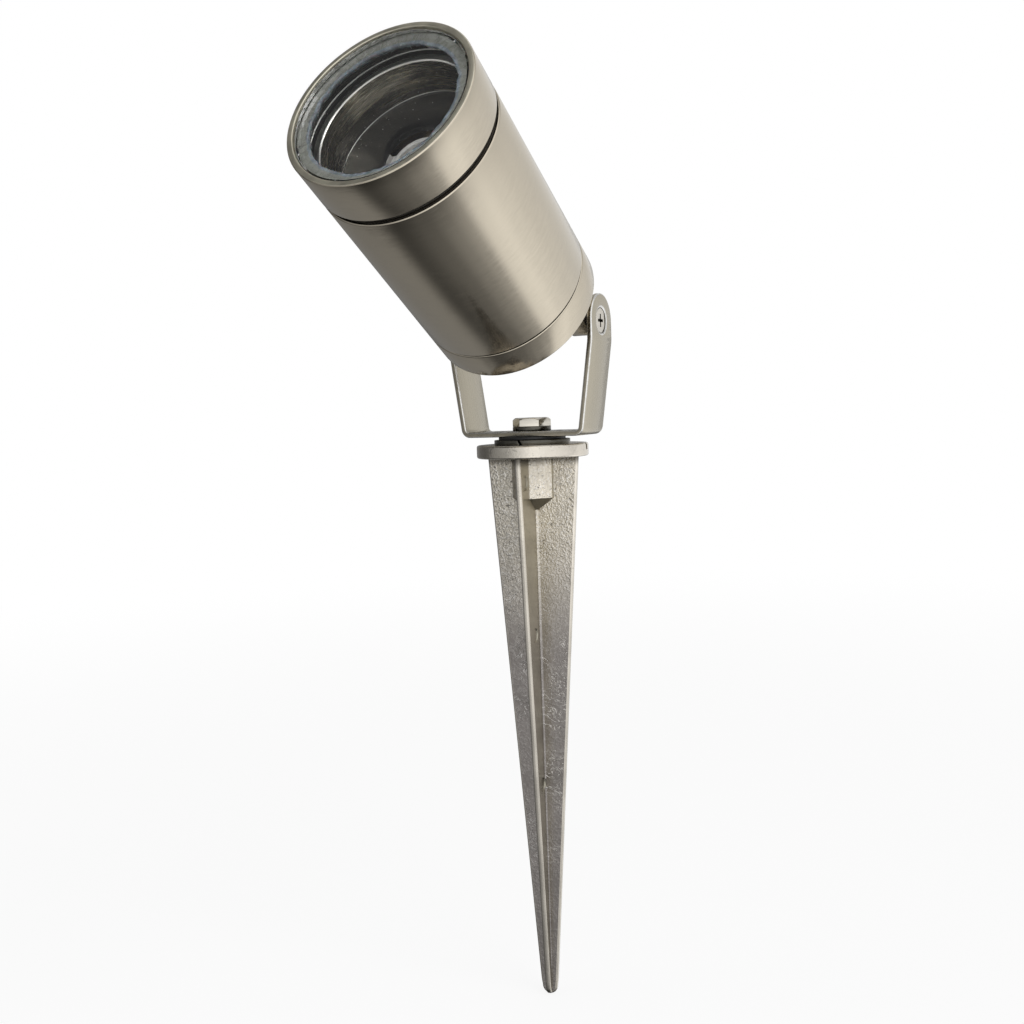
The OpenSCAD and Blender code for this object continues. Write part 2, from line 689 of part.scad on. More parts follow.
// Yoke: bent strap with round arm tops, pivot countersinks and the holes in its base
module yoke() {
    top = pivot_rise;
    color([0.63, 0.61, 0.56]) translate([0, 0, yoke_z]) difference() {
        intersection() {
            translate([0, strap_w / 2, 0]) rotate([90, 0, 0]) linear_extrude(strap_w)
                both_sides() arm_profile();
            translate([-yoke_span, 0, 0]) rotate([90, 0, 90]) linear_extrude(2 * yoke_span) {
                translate([-strap_w / 2, -over]) square([strap_w, top + over]);
                translate([0, top]) circle(d = strap_w);
            }
        }
        translate([-yoke_span, 0, top]) rotate([0, 90, 0])
            cylinder(r = pivot_d / 2 + pin_play, h = 2 * yoke_span);
        both_sides() translate([yoke_span / 2, 0, top]) rotate([0, -90, 0]) countersink();
        translate([0, 0, -over]) cylinder(r = bolt_d / 2 + pin_play, h = strap_t + 2 * over);
        for (x = [-1, 1] * fix_pitch / 2) translate([x, 0, -over])
            cylinder(d = fix_hole_d, h = strap_t + 2 * over);
        for (x = [-1, 1] * pilot_pitch / 2) translate([x, 0, -over])
            cylinder(d = pilot_hole_d, h = strap_t + 2 * over);
    }
}

// Countersink from height zero down through the strap
module countersink() {
    sink_r = (pivot_head_d + sink_margin) / 2;
    depth = strap_t + over;
    translate([0, 0, -over]) cylinder(r1 = sink_r + over, r2 = sink_r - depth, h = depth + over);
}

// One countersunk screw along Z, with the top of its head at height zero
module pivot_screw() {
    top_r = pivot_head_d / 2;
    difference() {
        union() {
            cylinder(r1 = top_r, r2 = top_r - pivot_head_h, h = pivot_head_h);
            cylinder(d = pivot_d, h = pivot_screw_len);
        }
        for (a = [0, 90]) rotate(a) translate([-cross_len / 2, -cross_w / 2, -over])
            cube([cross_len, cross_w, cross_depth + over]);
    }
}

module pivot_screws() {
    color([0.72, 0.7, 0.66]) translate([0, 0, pivot_z]) both_sides()
        translate([yoke_span / 2 - sink_depth, 0, 0]) rotate([0, -90, 0]) pivot_screw();
}

module pivot_washers() {
    color([0.04, 0.04, 0.04]) translate([0, 0, pivot_z]) both_sides() rotate([0, 90, 0])
        ring(pivot_washer_d / 2, pivot_d / 2 + pin_play, ear_out, arm_in);
}

module swivel_bolt() {
    head_z = base_top + lock_t;
    color([0.72, 0.7, 0.66]) {
        translate([0, 0, head_z]) rotate(BOLT_TURN) hex_block(bolt_flats, bolt_head_h);
        translate([0, 0, head_z - bolt_len]) cylinder(d = bolt_d, h = bolt_len);
    }
}

// A flat ring split by one slanted cut, whose ends point to an angle
module split_ring(d, bore, t, angle) {
    difference() {
        ring(d / 2, bore / 2, 0, t);
        rotate(angle) translate([0, d / 4 + bore / 4, t / 2]) rotate([0, 30, 0])
            cube([split_w, d, 4 * t], center = true);
    }
}

module spring_washer() {
    color([0.7, 0.68, 0.64]) translate([0, 0, base_top])
        split_ring(lock_d, bolt_d + 4 * pin_play, lock_t, WASHER_TURN);
}

module swivel_washer() {
    color([0.03, 0.03, 0.03]) ring(rubber_d / 2, bolt_d / 2 + 2 * pin_play, yoke_z - rubber_t, yoke_z);
}

module spring_ring() {
    color([0.6, 0.58, 0.54]) translate([0, 0, flange_top]) split_ring(ring_d, ring_bore, ring_t, RING_TURN);
}

// Outline of two opposite fins: straight taper and a rounded point
module fin_outline() {
    point_r = fin_low_w / 2 * 0.88;
    point_z = -blade_len + point_r;
    polygon([[-fin_top_w / 2, 0], [fin_top_w / 2, 0], [fin_low_w / 2, point_len - blade_len],
        [point_r, point_z], [-point_r, point_z], [-fin_low_w / 2, point_len - blade_len]]);
    translate([0, point_z]) circle(r = point_r);
}

// Half width of a fin at a share of the blade's length
function fin_half(share) = (fin_top_w + (fin_low_w - fin_top_w) * share) / 2;

// Square boss under the flange, at 45 degrees to the fins, ending in a pyramid
module boss() {
    rotate(45) intersection() {
        boss_wedge();
        rotate(90) boss_wedge();
    }
}

// Straight block with a roof-shaped underside: two of them crossed make the boss
module boss_wedge() {
    half = boss_w / 2;
    translate([0, half, 0]) rotate([90, 0, 0]) linear_extrude(boss_w)
        polygon([[-half, 0], [-half, -boss_h], [0, -boss_h - half], [half, -boss_h], [half, 0]]);
}

// Spike: flange, boss and crossed fins as one casting, tapped for the swivel bolt
module spike() {
    r = flange_d / 2;
    e = flange_round;
    tap = bolt_len - lock_t - (base_top - flange_top) + over;
    color([0.55, 0.53, 0.5]) difference() {
        union() {
            rotate_extrude() {
                square([r - e, flange_t]);
                translate([0, e]) square([r, flange_t - 2 * e]);
                for (z = [e, flange_t - e]) translate([r - e, z]) circle(r = e);
            }
            rotate(fin_turn) {
                boss();
                for (a = [0, 90]) rotate(a) translate([0, fin_t / 2, 0]) rotate([90, 0, 0])
                    linear_extrude(fin_t) fin_outline();
            }
        }
        translate([0, 0, flange_top - tap]) cylinder(r = bolt_d / 2 + pin_play, h = tap + over);
        rotate(fin_turn) for (a = [0, 180], m = MARK_SHARES) rotate(a)
            translate([fin_t / 2 - mark_depth, -fin_half(m[0]) * m[1], -blade_len * m[0]])
                rotate([0, 90, 0]) ring(mark_d / 2, mark_d / 2 - 2 * mark_depth, 0, mark_depth + over);
    }
}

front_cap();
lens_glass();
lens_sealant();
front_seal();
body_tube();
rear_seal();
rear_cap();
lamp_plate();
plate_circlip();
lampholder();
lampholder_contacts();
holder_screws();
lamp_leads();
terminal_block();
terminal_clamps();
terminal_screws();
terminal_bracket();
bracket_screws();
gland_body();
gland_o_ring();
gland_seal();
gland_nut();
yoke();
pivot_screws();
pivot_washers();
swivel_bolt();
spring_washer();
swivel_washer();
spring_ring();
spike();
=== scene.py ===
"""Garden spike spotlight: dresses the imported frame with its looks, studio and camera.

The head is a lathe-turned steel tube that tilts in a strap yoke, and the yoke swivels on a cast spike.
Sizes are in millimetres, as in the part's source, and are turned into metres where a mesh is made.
"""

import logging
import math
from dataclasses import dataclass
from enum import Enum
from functools import cache
from typing import Callable, Iterable, Sequence

import bmesh
import bpy
from mathutils import Matrix, Vector, noise


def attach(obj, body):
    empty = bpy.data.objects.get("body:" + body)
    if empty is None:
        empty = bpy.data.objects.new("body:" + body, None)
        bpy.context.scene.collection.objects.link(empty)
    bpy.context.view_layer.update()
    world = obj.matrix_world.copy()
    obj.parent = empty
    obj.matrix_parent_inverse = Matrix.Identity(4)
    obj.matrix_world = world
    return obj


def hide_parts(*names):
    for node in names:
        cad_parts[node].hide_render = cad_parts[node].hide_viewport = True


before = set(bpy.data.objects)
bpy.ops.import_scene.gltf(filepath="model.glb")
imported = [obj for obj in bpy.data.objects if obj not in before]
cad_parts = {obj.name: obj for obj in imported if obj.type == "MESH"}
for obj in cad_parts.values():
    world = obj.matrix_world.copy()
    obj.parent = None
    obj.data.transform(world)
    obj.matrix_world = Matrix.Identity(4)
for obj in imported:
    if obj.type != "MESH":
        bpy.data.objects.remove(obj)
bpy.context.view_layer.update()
LOG = logging.getLogger("spotlight")

MM = 0.001
TILT = math.radians(31.6)
PIVOT_Z = 50.3
HEAD_TURN = math.pi / 2 - TILT
HEAD_PLACE = Matrix.Translation((0, 0, PIVOT_Z * MM)) @ Matrix.Rotation(HEAD_TURN, 4, "X")
HEAD_AXIS = (0.0, -math.cos(TILT), math.sin(TILT))
HEAD_UP = (0.0, math.sin(TILT), math.cos(TILT))

Colour = tuple[float, float, float]
Profile = Sequence[tuple[float, float]]


class Lay(Enum):
    """Which way a surface pattern runs."""

    HEAD = "rings about the head's axis"
    STRAP = "lines up and along the yoke's strap"
    UPRIGHT = "rings about the upright axis"


class Graph:
    """Small helper that adds nodes to one node tree and joins them."""

    def __init__(self, tree: bpy.types.NodeTree) -> None:
        """Keeps the tree.

        Args:
            tree: the node tree of a material, world or group.
        """
        self.tree = tree

    def add(self, kind: str, inputs: dict | None = None, **settings: object) -> bpy.types.Node:
        """Adds a node.

        Args:
            kind: node type without the ShaderNode prefix.
            inputs: values or sockets for its inputs, by name or number.
            settings: attributes of the node.

        Returns:
            The new node.
        """
        node = self.tree.nodes.new("ShaderNode" + kind)
        for key, value in settings.items():
            setattr(node, key, value)
        for key, value in (inputs or {}).items():
            if isinstance(value, bpy.types.NodeSocket):
                self.join(value, node, key)
            else:
                node.inputs[key].default_value = value
        return node

    def math(self, operation: str, *values: object) -> bpy.types.NodeSocket:
        """Adds a Math node and returns its result.

        Args:
            operation: the node's operation.
            values: sockets or numbers.

        Returns:
            The result socket.
        """
        return self.add("Math", dict(enumerate(values)), operation=operation).outputs[0]

    def product(self, first: object, second: object) -> bpy.types.NodeSocket:
        """Multiplies two sockets or numbers."""
        return self.math("MULTIPLY", first, second)

    def total(self, first: object, second: object) -> bpy.types.NodeSocket:
        """Adds two sockets or numbers."""
        return self.math("ADD", first, second)

    def place(self) -> bpy.types.NodeSocket:
        """Gives the place on the piece, in metres."""
        return self.add("TexCoord").outputs["Object"]

    def head_place(self) -> bpy.types.NodeSocket:
        """Gives the place in the head's own frame, with Z along its axis."""
        return self.add("Mapping", {"Vector": self.place(), "Location": (0, 0, PIVOT_Z * MM),
                                    "Rotation": (HEAD_TURN, 0, 0)}, vector_type="TEXTURE").outputs[0]

    def bump(self, height: object, distance: float, strength: float) -> bpy.types.NodeSocket:
        """Turns a height into a normal, over a distance in metres."""
        return self.add("Bump", {"Strength": strength, "Distance": distance, "Height": height}).outputs[0]

    def join(self, socket: bpy.types.NodeSocket, node: bpy.types.Node, name: str) -> None:
        """Joins a socket to a node's input."""
        self.tree.links.new(socket, node.inputs[name])

    def vector(self, operation: str, *values: object, output: int = 0) -> bpy.types.NodeSocket:
        """Adds a Vector Math node and returns one of its results.

        Args:
            operation: the node's operation.
            values: sockets or vectors.
            output: number of the wanted output.

        Returns:
            The result socket.
        """
        return self.add("VectorMath", dict(enumerate(values)), operation=operation).outputs[output]

    def smooth(self, value: object, low: float, high: float, start: float = 0.0,
               end: float = 1.0) -> bpy.types.NodeSocket:
        """Maps a value smoothly from one range to another.

        Args:
            value: socket or number.
            low: value that gives the start.
            high: value that gives the end.
            start: result at low.
            end: result at high.

        Returns:
            The result socket.
        """
        node = self.add("MapRange", {0: value, 1: low, 2: high, 3: start, 4: end},
                        interpolation_type="SMOOTHSTEP")
        return node.outputs[0]

    def noise(self, vector: object, scale: float, detail: float = 3.0, rough: float = 0.5,
              distort: float = 0.0) -> bpy.types.NodeSocket:
        """Adds a noise texture and returns its value.

        Args:
            vector: coordinates.
            scale: features for each unit.
            detail: octaves.
            rough: strength of the finer octaves.
            distort: distortion.

        Returns:
            The value socket.
        """
        return self.add("TexNoise", {"Vector": vector, "Scale": scale, "Detail": detail, "Roughness": rough,
                                     "Distortion": distort}).outputs[0]

    def ramp(self, value: object, stops: Sequence[tuple[float, float]]) -> bpy.types.NodeSocket:
        """Maps a value through grey levels at given places.

        Args:
            value: socket or number, from 0 to 1.
            stops: place and level of each stop.

        Returns:
            The colour socket.
        """
        node = self.add("ValToRGB", {0: value})
        node.color_ramp.interpolation = "EASE"
        elements = node.color_ramp.elements
        while len(elements) < len(stops):
            elements.new(0.5)
        for element, (place, level) in zip(elements, stops):
            element.position = place
            element.color = (level, level, level, 1)
        return node.outputs[0]

    def between(self, factor: object, first: object, second: object) -> bpy.types.NodeSocket:
        """Mixes two numbers, with a factor for the share of the second."""
        return self.add("Mix", {0: factor, 2: first, 3: second}, data_type="FLOAT").outputs[0]

    def blend(self, factor: object, first: object, second: object) -> bpy.types.NodeSocket:
        """Mixes two colours.

        Args:
            factor: share of the second.
            first: colour or socket.
            second: colour or socket.

        Returns:
            The colour socket.
        """
        return self.add("Mix", {0: factor, 6: first, 7: second}, data_type="RGBA").outputs[2]


class Groups:
    """The shader node groups that several finishes share, each made once.

    The casting's features are counted for each metre.
    """

    SAND = 1150.0
    LUMPS = 520.0
    FLOW = 95.0
    FLOW_PATCHES = 55.0
    PITS = 820.0
    FLOW_STRETCH = (1.0, 1.0, 1.7)
    WRINKLE_HEIGHT = 0.07
    PIT_DEPTH = 0.05

    @staticmethod
    def open(name: str, inputs: Sequence[tuple[str, str]], outputs: Sequence[tuple[str, str]],
             ) -> tuple[bpy.types.NodeTree, Graph, bpy.types.Node, bpy.types.Node]:
        """Starts a group with its sockets.

        Args:
            name: name of the group.
            inputs: names and kinds of the inputs.
            outputs: names and kinds of the outputs.

        Returns:
            The tree, its graph, and the group's input and output nodes.
        """
        tree = bpy.data.node_groups.new(name, "ShaderNodeTree")
        for direction, sockets in (("INPUT", inputs), ("OUTPUT", outputs)):
            for label, kind in sockets:
                tree.interface.new_socket(name=label, in_out=direction, socket_type="NodeSocket" + kind)
        source = tree.nodes.new("NodeGroupInput")
        sink = tree.nodes.new("NodeGroupOutput")
        return tree, Graph(tree), source, sink

    @classmethod
    @cache
    def brush_lines(cls) -> bpy.types.NodeTree:
        """Brushing: short fine lines that tip the normal across themselves, and a little along.

        Returns:
            The group, with Lines and Normal as outputs.
        """
        tree, graph, source, sink = cls.open(
            "brush_lines", [("Vector", "Vector"), ("Across", "Vector"), ("Tilt", "Float")],
            [("Lines", "Float"), ("Normal", "Vector")])
        fine = graph.noise(source.outputs["Vector"], 1.0, 3.0, 0.65)
        broad = graph.noise(source.outputs["Vector"], 0.24, 2.0, 0.6)
        lines = graph.total(graph.product(fine, 0.7), graph.product(broad, 0.3))
        lean = graph.product(graph.math("SUBTRACT", lines, 0.5), source.outputs["Tilt"])
        normal = graph.add("NewGeometry").outputs["Normal"]
        turned = graph.add("VectorTransform", {"Vector": source.outputs["Across"]}, vector_type="VECTOR",
                           convert_from="OBJECT", convert_to="WORLD").outputs[0]
        side = graph.vector("CROSS_PRODUCT", turned, normal)
        across = graph.add("VectorMath", {0: turned, "Scale": lean}, operation="SCALE").outputs[0]
        along = graph.add("VectorMath", {0: side, "Scale": graph.product(lean, 0.35)},
                          operation="SCALE").outputs[0]
        leaning = graph.vector("ADD", normal, graph.vector("ADD", across, along))
        graph.join(lines, sink, "Lines")
        graph.join(graph.vector("NORMALIZE", leaning), sink, "Normal")
        return tree

    @classmethod
    @cache
    def smudges(cls) -> bpy.types.NodeTree:
        """Slow, cloudy variation from handling.

        Returns:
            The group, with Smudge and Speck as outputs.
        """
        tree, graph, source, sink = cls.open(
            "smudges", [("Vector", "Vector"), ("Scale", "Float")], [("Smudge", "Float"), ("Speck", "Float")])
        scaled = graph.add("VectorMath", {0: source.outputs["Vector"], "Scale": source.outputs["Scale"]},
                           operation="SCALE").outputs[0]
        cloud = graph.noise(scaled, 1.0, 4.0, 0.6, 0.4)
        cells = graph.add("TexVoronoi", {"Vector": scaled, "Scale": 9.0}).outputs["Distance"]
        gate = graph.smooth(graph.noise(scaled, 6.0, 2.0), 0.52, 0.64)
        speck = graph.product(graph.smooth(cells, 0.14, 0.05), gate)
        graph.join(graph.smooth(cloud, 0.3, 0.7), sink, "Smudge")
        graph.join(speck, sink, "Speck")
        return tree

    @classmethod
    def cloud(cls, graph: Graph, place: bpy.types.NodeSocket, scale: float) -> bpy.types.bpy_prop_collection:
        """Places the smudges in a material and gives their outputs."""
        return graph.add("Group", {"Vector": place, "Scale": scale}, node_tree=cls.smudges()).outputs

    @classmethod
    @cache
    def cast_skin(cls) -> bpy.types.NodeTree:
        """Skin of a rough casting: grain, flow wrinkles and pits, with a mask of painted glints on the grain
        and the wrinkles' ridges.

        Returns:
            The group, with Height, Bright and Pits as outputs.
        """
        tree, graph, source, sink = cls.open(
            "cast_skin", [("Vector", "Vector"), ("Grain", "Float"), ("Wrinkle", "Float")],
            [("Height", "Float"), ("Bright", "Float"), ("Pits", "Float")])
        place, amount = source.outputs["Vector"], source.outputs["Grain"]
        sand = graph.noise(place, cls.SAND, 2.0, 0.6)
        lumps = graph.noise(place, cls.LUMPS, 3.0, 0.6, 1.2)
        grain = graph.total(graph.product(sand, 0.6), graph.product(lumps, 0.4))
        flat = graph.vector("MULTIPLY", place, cls.FLOW_STRETCH)
        flow = graph.noise(flat, cls.FLOW, 4.0, 0.66, 1.9)
        ridge = graph.smooth(graph.math("ABSOLUTE", graph.math("SUBTRACT", flow, 0.5)), 0.02, 0.0)
        patch = graph.smooth(graph.noise(place, cls.FLOW_PATCHES, 2.0), 0.42, 0.55)
        wrinkle = graph.product(graph.product(ridge, patch), source.outputs["Wrinkle"])
        pits = graph.product(graph.smooth(graph.noise(place, cls.PITS, 1.0), 0.35, 0.26), amount)
        sparkle = graph.product(graph.smooth(grain, 0.51, 0.6), amount)
        height = graph.total(graph.product(grain, amount), graph.product(wrinkle, cls.WRINKLE_HEIGHT))
        graph.join(graph.math("SUBTRACT", height, graph.product(pits, cls.PIT_DEPTH)), sink, "Height")
        graph.join(graph.math("MAXIMUM", graph.product(sparkle, 0.65), wrinkle), sink, "Bright")
        graph.join(pits, sink, "Pits")
        return tree


@dataclass(frozen=True)
class Finish:
    """A finish: the constants of its shader and the detail that varies over the surface."""

    name: str
    colour: Colour
    roughness: float = 0.5
    metallic: float = 0.0
    cloud_scale: float = 160.0

    @cache
    def material(self) -> bpy.types.Material:
        """Builds the material, once for each finish.

        Returns:
            The material.
        """
        made = bpy.data.materials.new(self.name)
        made.use_nodes = True
        graph = Graph(made.node_tree)
        shader = made.node_tree.nodes["Principled BSDF"]
        shader.inputs["Base Color"].default_value = (*self.colour, 1)
        shader.inputs["Roughness"].default_value = self.roughness
        shader.inputs["Metallic"].default_value = self.metallic
        self.detail(graph, shader)
        return made

    def detail(self, graph: Graph, shader: bpy.types.Node) -> None:
        """Adds what varies over the surface: cloudy smudges and specks.

        Args:
            graph: the material's graph.
            shader: its Principled BSDF.
        """
        smudge = Groups.cloud(graph, graph.place(), self.cloud_scale)["Smudge"]
        self.tint(graph, shader, smudge, 0.82, 1.06)
        self.gloss(graph, shader, smudge, 0.07)

    def tint(self, graph: Graph, shader: bpy.types.Node, mask: bpy.types.NodeSocket, low: float,
             high: float) -> bpy.types.NodeSocket:
        """Lets the base colour vary between two levels.

        Args:
            graph: the material's graph.
            shader: its Principled BSDF.
            mask: 0 to 1 over the surface.
            low: brightness at 0.
            high: brightness at 1.

        Returns:
            The colour socket.
        """
        dark = (*(c * low for c in self.colour), 1)
        light = (*(min(1.0, c * high) for c in self.colour), 1)
        mixed = graph.blend(mask, dark, light)
        graph.join(mixed, shader, "Base Color")
        return mixed

    def gloss(self, graph: Graph, shader: bpy.types.Node, mask: bpy.types.NodeSocket, spread: float) -> None:
        """Lets the roughness vary about its value.

        Args:
            graph: the material's graph.
            shader: its Principled BSDF.
            mask: 0 to 1 over the surface.
            spread: most that it departs.
        """
        value = graph.smooth(mask, 0.1, 0.9, self.roughness - spread, self.roughness + spread)
        graph.join(value, shader, "Roughness")


@dataclass(frozen=True)
class BrushedSteel(Finish):
    """Brushed metal, with lines that follow the way it was turned or drawn."""

    metallic: float = 1.0
    cloud_scale: float = 45.0
    lay: Lay = Lay.HEAD
    lines_per_mm: float = 2.4
    line_mm: float = 6.0
    lean: float = 0.16
    contrast: float = 0.06

    def detail(self, graph: Graph, shader: bpy.types.Node) -> None:
        """Adds the brushing and faint smudges.

        Args:
            graph: the material's graph.
            shader: its Principled BSDF.
        """
        place = graph.head_place() if self.lay is Lay.HEAD else graph.place()
        dense, slow = self.lines_per_mm / MM, 1 / (self.line_mm * MM)
        if self.lay is Lay.HEAD:
            across, scale = HEAD_AXIS, (slow, slow, dense)
        elif self.lay is Lay.UPRIGHT:
            across, scale = (0.0, 0.0, 1.0), (slow, slow, dense)
        else:
            across, scale = (0.0, 1.0, 0.0), (slow, dense, slow)
        stretched = graph.vector("MULTIPLY", place, scale)
        lines = graph.add("Group", {"Vector": stretched, "Across": across, "Tilt": self.lean},
                          node_tree=Groups.brush_lines()).outputs
        smudge = Groups.cloud(graph, place, self.cloud_scale)["Smudge"]
        mask = graph.smooth(lines["Lines"], 0.32, 0.68)
        mixed = graph.total(graph.product(mask, 0.8), graph.product(smudge, 0.2))
        self.tint(graph, shader, mixed, 1 - self.contrast, 1 + self.contrast)
        self.gloss(graph, shader, mixed, 0.05)
        graph.join(lines["Normal"], shader, "Normal")


@dataclass(frozen=True)
class BoredSteel(BrushedSteel):
    """Inside of the turned tube: dark, with tool rings and bright scratches along them."""

    scratches_per_metre: tuple[float, float, float] = (90.0, 90.0, 1500.0)

    def detail(self, graph: Graph, shader: bpy.types.Node) -> None:
        """Adds the rings and scratches.

        Args:
            graph: the material's graph.
            shader: its Principled BSDF.
        """
        super().detail(graph, shader)
        stretched = graph.vector("MULTIPLY", graph.head_place(), self.scratches_per_metre)
        scratch = graph.smooth(graph.noise(stretched, 1.0, 2.0, 0.6), 0.58, 0.66)
        bright = (*(min(1.0, c * 2.0) for c in self.colour), 1)
        base = shader.inputs["Base Color"].links[0].from_socket
        graph.join(graph.blend(scratch, base, bright), shader, "Base Color")


@dataclass(frozen=True)
class CastMetal(Finish):
    """Cast metal, whose grain turns into wrinkles and then smooth skin down the spike."""

    metallic: float = 1.0
    low_colour: Colour = (0.35, 0.323, 0.305)
    grain: float = 1.0
    wrinkle: float = 1.0
    relief: float = 0.75
    sparkle: float = 0.9
    grainy_z: tuple[float, float] = (-0.008, -0.082)
    calm_z: tuple[float, float] = (-0.12, -0.19)
    under_flange_shade_z: tuple[float, float] = (-0.0042, -0.0004)

    def detail(self, graph: Graph, shader: bpy.types.Node) -> None:
        """Adds grain, wrinkles, pits, painted glints, the change of colour down the spike, and painted shade
        on the left of the top and under the flange.

        Args:
            graph: the material's graph.
            shader: its Principled BSDF.
        """
        place = graph.place()
        height = graph.add("SeparateXYZ", {0: place}).outputs["Z"]
        down = graph.smooth(height, *self.grainy_z)
        deep = graph.smooth(height, *self.calm_z)
        grain = graph.smooth(down, 0.0, 1.0, self.grain, self.grain * 0.22)
        middle = graph.product(graph.smooth(down, 0.0, 0.6, 0.25, 1.0),
                               graph.smooth(deep, 0.0, 1.0, 1.0, 0.2))
        skin = graph.add("Group", {"Vector": place, "Grain": grain,
                                   "Wrinkle": graph.product(middle, self.wrinkle)},
                         node_tree=Groups.cast_skin()).outputs
        graph.join(graph.bump(skin["Height"], self.relief * MM, 1.0), shader, "Normal")
        cloud = graph.noise(place, 42.0, 3.0, 0.6, 0.5)
        metal = graph.blend(down, (*self.colour, 1), (*self.low_colour, 1))
        shaded = graph.blend(graph.smooth(cloud, 0.35, 0.65, 0.0, 0.22), metal, (0.12, 0.11, 0.1, 1))
        # Painted shade: the left half of the top is darkened, as it faces the dim side of the room
        side = graph.smooth(graph.add("SeparateXYZ", {0: place}).outputs["X"], 0.01, -0.01, 0.0, 0.4)
        top = graph.product(side, graph.math("SUBTRACT", 1.0, down))
        shaded = graph.blend(top, shaded, (0.3, 0.28, 0.235, 1))
        # Painted glints: the grain's sparkle and the wrinkles' ridges lighten the colour to near white
        lit = graph.blend(graph.product(skin["Bright"], self.sparkle), shaded, (1.0, 0.97, 0.93, 1))
        pitted = graph.blend(graph.product(skin["Pits"], 0.7), lit, (0.07, 0.06, 0.05, 1))
        # Painted shade in the corner under the flange
        corner = graph.product(graph.smooth(height, *self.under_flange_shade_z), graph.math("LESS_THAN", height, 0.0))
        under_flange_painted_shade = graph.blend(graph.product(corner, 0.85), pitted, (0.06, 0.055, 0.045, 1))
        graph.join(under_flange_painted_shade, shader, "Base Color")
        self.gloss(graph, shader, cloud, 0.05)


@dataclass(frozen=True)
class GlossBlack(Finish):
    """Black enamel with dust on it."""

    cloud_scale: float = 110.0

    def detail(self, graph: Graph, shader: bpy.types.Node) -> None:
        """Adds the dust and a faint cloud of grease.

        Args:
            graph: the material's graph.
            shader: its Principled BSDF.
        """
        shader.inputs["Specular IOR Level"].default_value = 0.2
        cloud = Groups.cloud(graph, graph.place(), self.cloud_scale)
        base = self.tint(graph, shader, cloud["Smudge"], 0.8, 1.3)
        graph.join(graph.blend(cloud["Speck"], base, (0.3, 0.3, 0.29, 1)), shader, "Base Color")
        self.gloss(graph, shader, cloud["Smudge"], 0.03)


@dataclass(frozen=True)
class ClearGlass(Finish):
    """Clear glass disc with faint dust."""

    cloud_scale: float = 90.0

    def detail(self, graph: Graph, shader: bpy.types.Node) -> None:
        """Sets the glass's constants and adds dust as a little roughness.

        Args:
            graph: the material's graph.
            shader: its Principled BSDF.
        """
        shader.inputs["Transmission Weight"].default_value = 1.0
        shader.inputs["IOR"].default_value = 1.45
        cloud = Groups.cloud(graph, graph.place(), self.cloud_scale)
        graph.join(graph.smooth(cloud["Speck"], 0.0, 1.0, self.roughness, 0.35), shader, "Roughness")
        self.tint(graph, shader, cloud["Smudge"], 0.985, 1.0)


@dataclass(frozen=True)
class Silicone(Finish):
    """Translucent sealant with milky streaks and a lumpy skin."""

    streaks_per_metre: float = 420.0
    lumps_per_metre: float = 900.0
    streaks: float = 0.3
    lumps: float = 0.3
    depth: float = 0.25

    def detail(self, graph: Graph, shader: bpy.types.Node) -> None:
        """Adds the milky streaks and the lumps.

        Args:
            graph: the material's graph.
            shader: its Principled BSDF.
        """
        shader.inputs["Subsurface Weight"].default_value = self.depth
        shader.inputs["Subsurface Scale"].default_value = 0.001
        place = graph.place()
        milky = graph.smooth(graph.noise(place, self.streaks_per_metre, 4.0, 0.65, 0.8), 0.35, 0.68)
        self.tint(graph, shader, milky, 1 - self.streaks, 1 + self.streaks)
        self.gloss(graph, shader, milky, 0.08)
        lumpy = graph.noise(place, self.lumps_per_metre, 3.0, 0.6)
        graph.join(graph.bump(lumpy, self.lumps * MM, 0.8), shader, "Normal")


@dataclass(frozen=True)
class Moulded(Finish):
    """Rubber, plastic or ceramic with a fine even grain."""

    grain_scale: float = 2500.0
    grain_height: float = 0.00003

    def detail(self, graph: Graph, shader: bpy.types.Node) -> None:
        """Adds the grain to the plain variation.

        Args:
            graph: the material's graph.
            shader: its Principled BSDF.
        """
        super().detail(graph, shader)
        grain = graph.noise(graph.place(), self.grain_scale, 3.0, 0.6)
        graph.join(graph.bump(grain, self.grain_height, 0.6), shader, "Normal")


WARM = (0.64, 0.577, 0.468)
HEAD_STEEL = BrushedSteel("brushed_head_steel", WARM, 0.18, lines_per_mm=3.4, line_mm=3.5, lean=0.13)
RIM_STEEL = BrushedSteel("turned_rim_steel", (0.8, 0.76, 0.62), 0.42, lines_per_mm=3.0, contrast=0.08)
BORE_STEEL = BoredSteel("bored_steel", (0.5, 0.47, 0.39), 0.24, lines_per_mm=1.5, line_mm=26.0, lean=0.32,
                        contrast=0.4)
# Painted shade: a near-black copy of the steel for the cap's inner bore and back face and the tube's rear
# chamfer and end, where shade falls
SEAM_AND_BORE_SHADE_STEEL = BrushedSteel("painted_shade_seam_and_bore_steel", (0.05, 0.05, 0.045), 0.28, lines_per_mm=1.6, line_mm=80.0,
                            lean=0.2, contrast=0.4)
# Painted light: a lighter, greyer copy of the head steel for the turned neck's end and outer chamfer and a
# ring in the cap's bore
MOUTH_STEEL = BrushedSteel("turned_neck_end_painted_light_steel", (0.76, 0.77, 0.73), 0.5, lines_per_mm=1.6, line_mm=60.0,
                           contrast=0.2)
# Painted highlight: a lighter, greyer copy of the head steel for the burr at the plate and the mouth's inner
# chamfer
CHAMFER_STEEL = BrushedSteel("painted_highlight_chamfer_steel", (0.7, 0.7, 0.66), 0.3, lines_per_mm=3.0, line_mm=10.0)
YOKE_STEEL = BrushedSteel("satin_yoke_steel", (0.5, 0.46, 0.37), 0.28, lay=Lay.STRAP, lines_per_mm=1.8,
                          line_mm=12.0, lean=0.14, contrast=0.07)
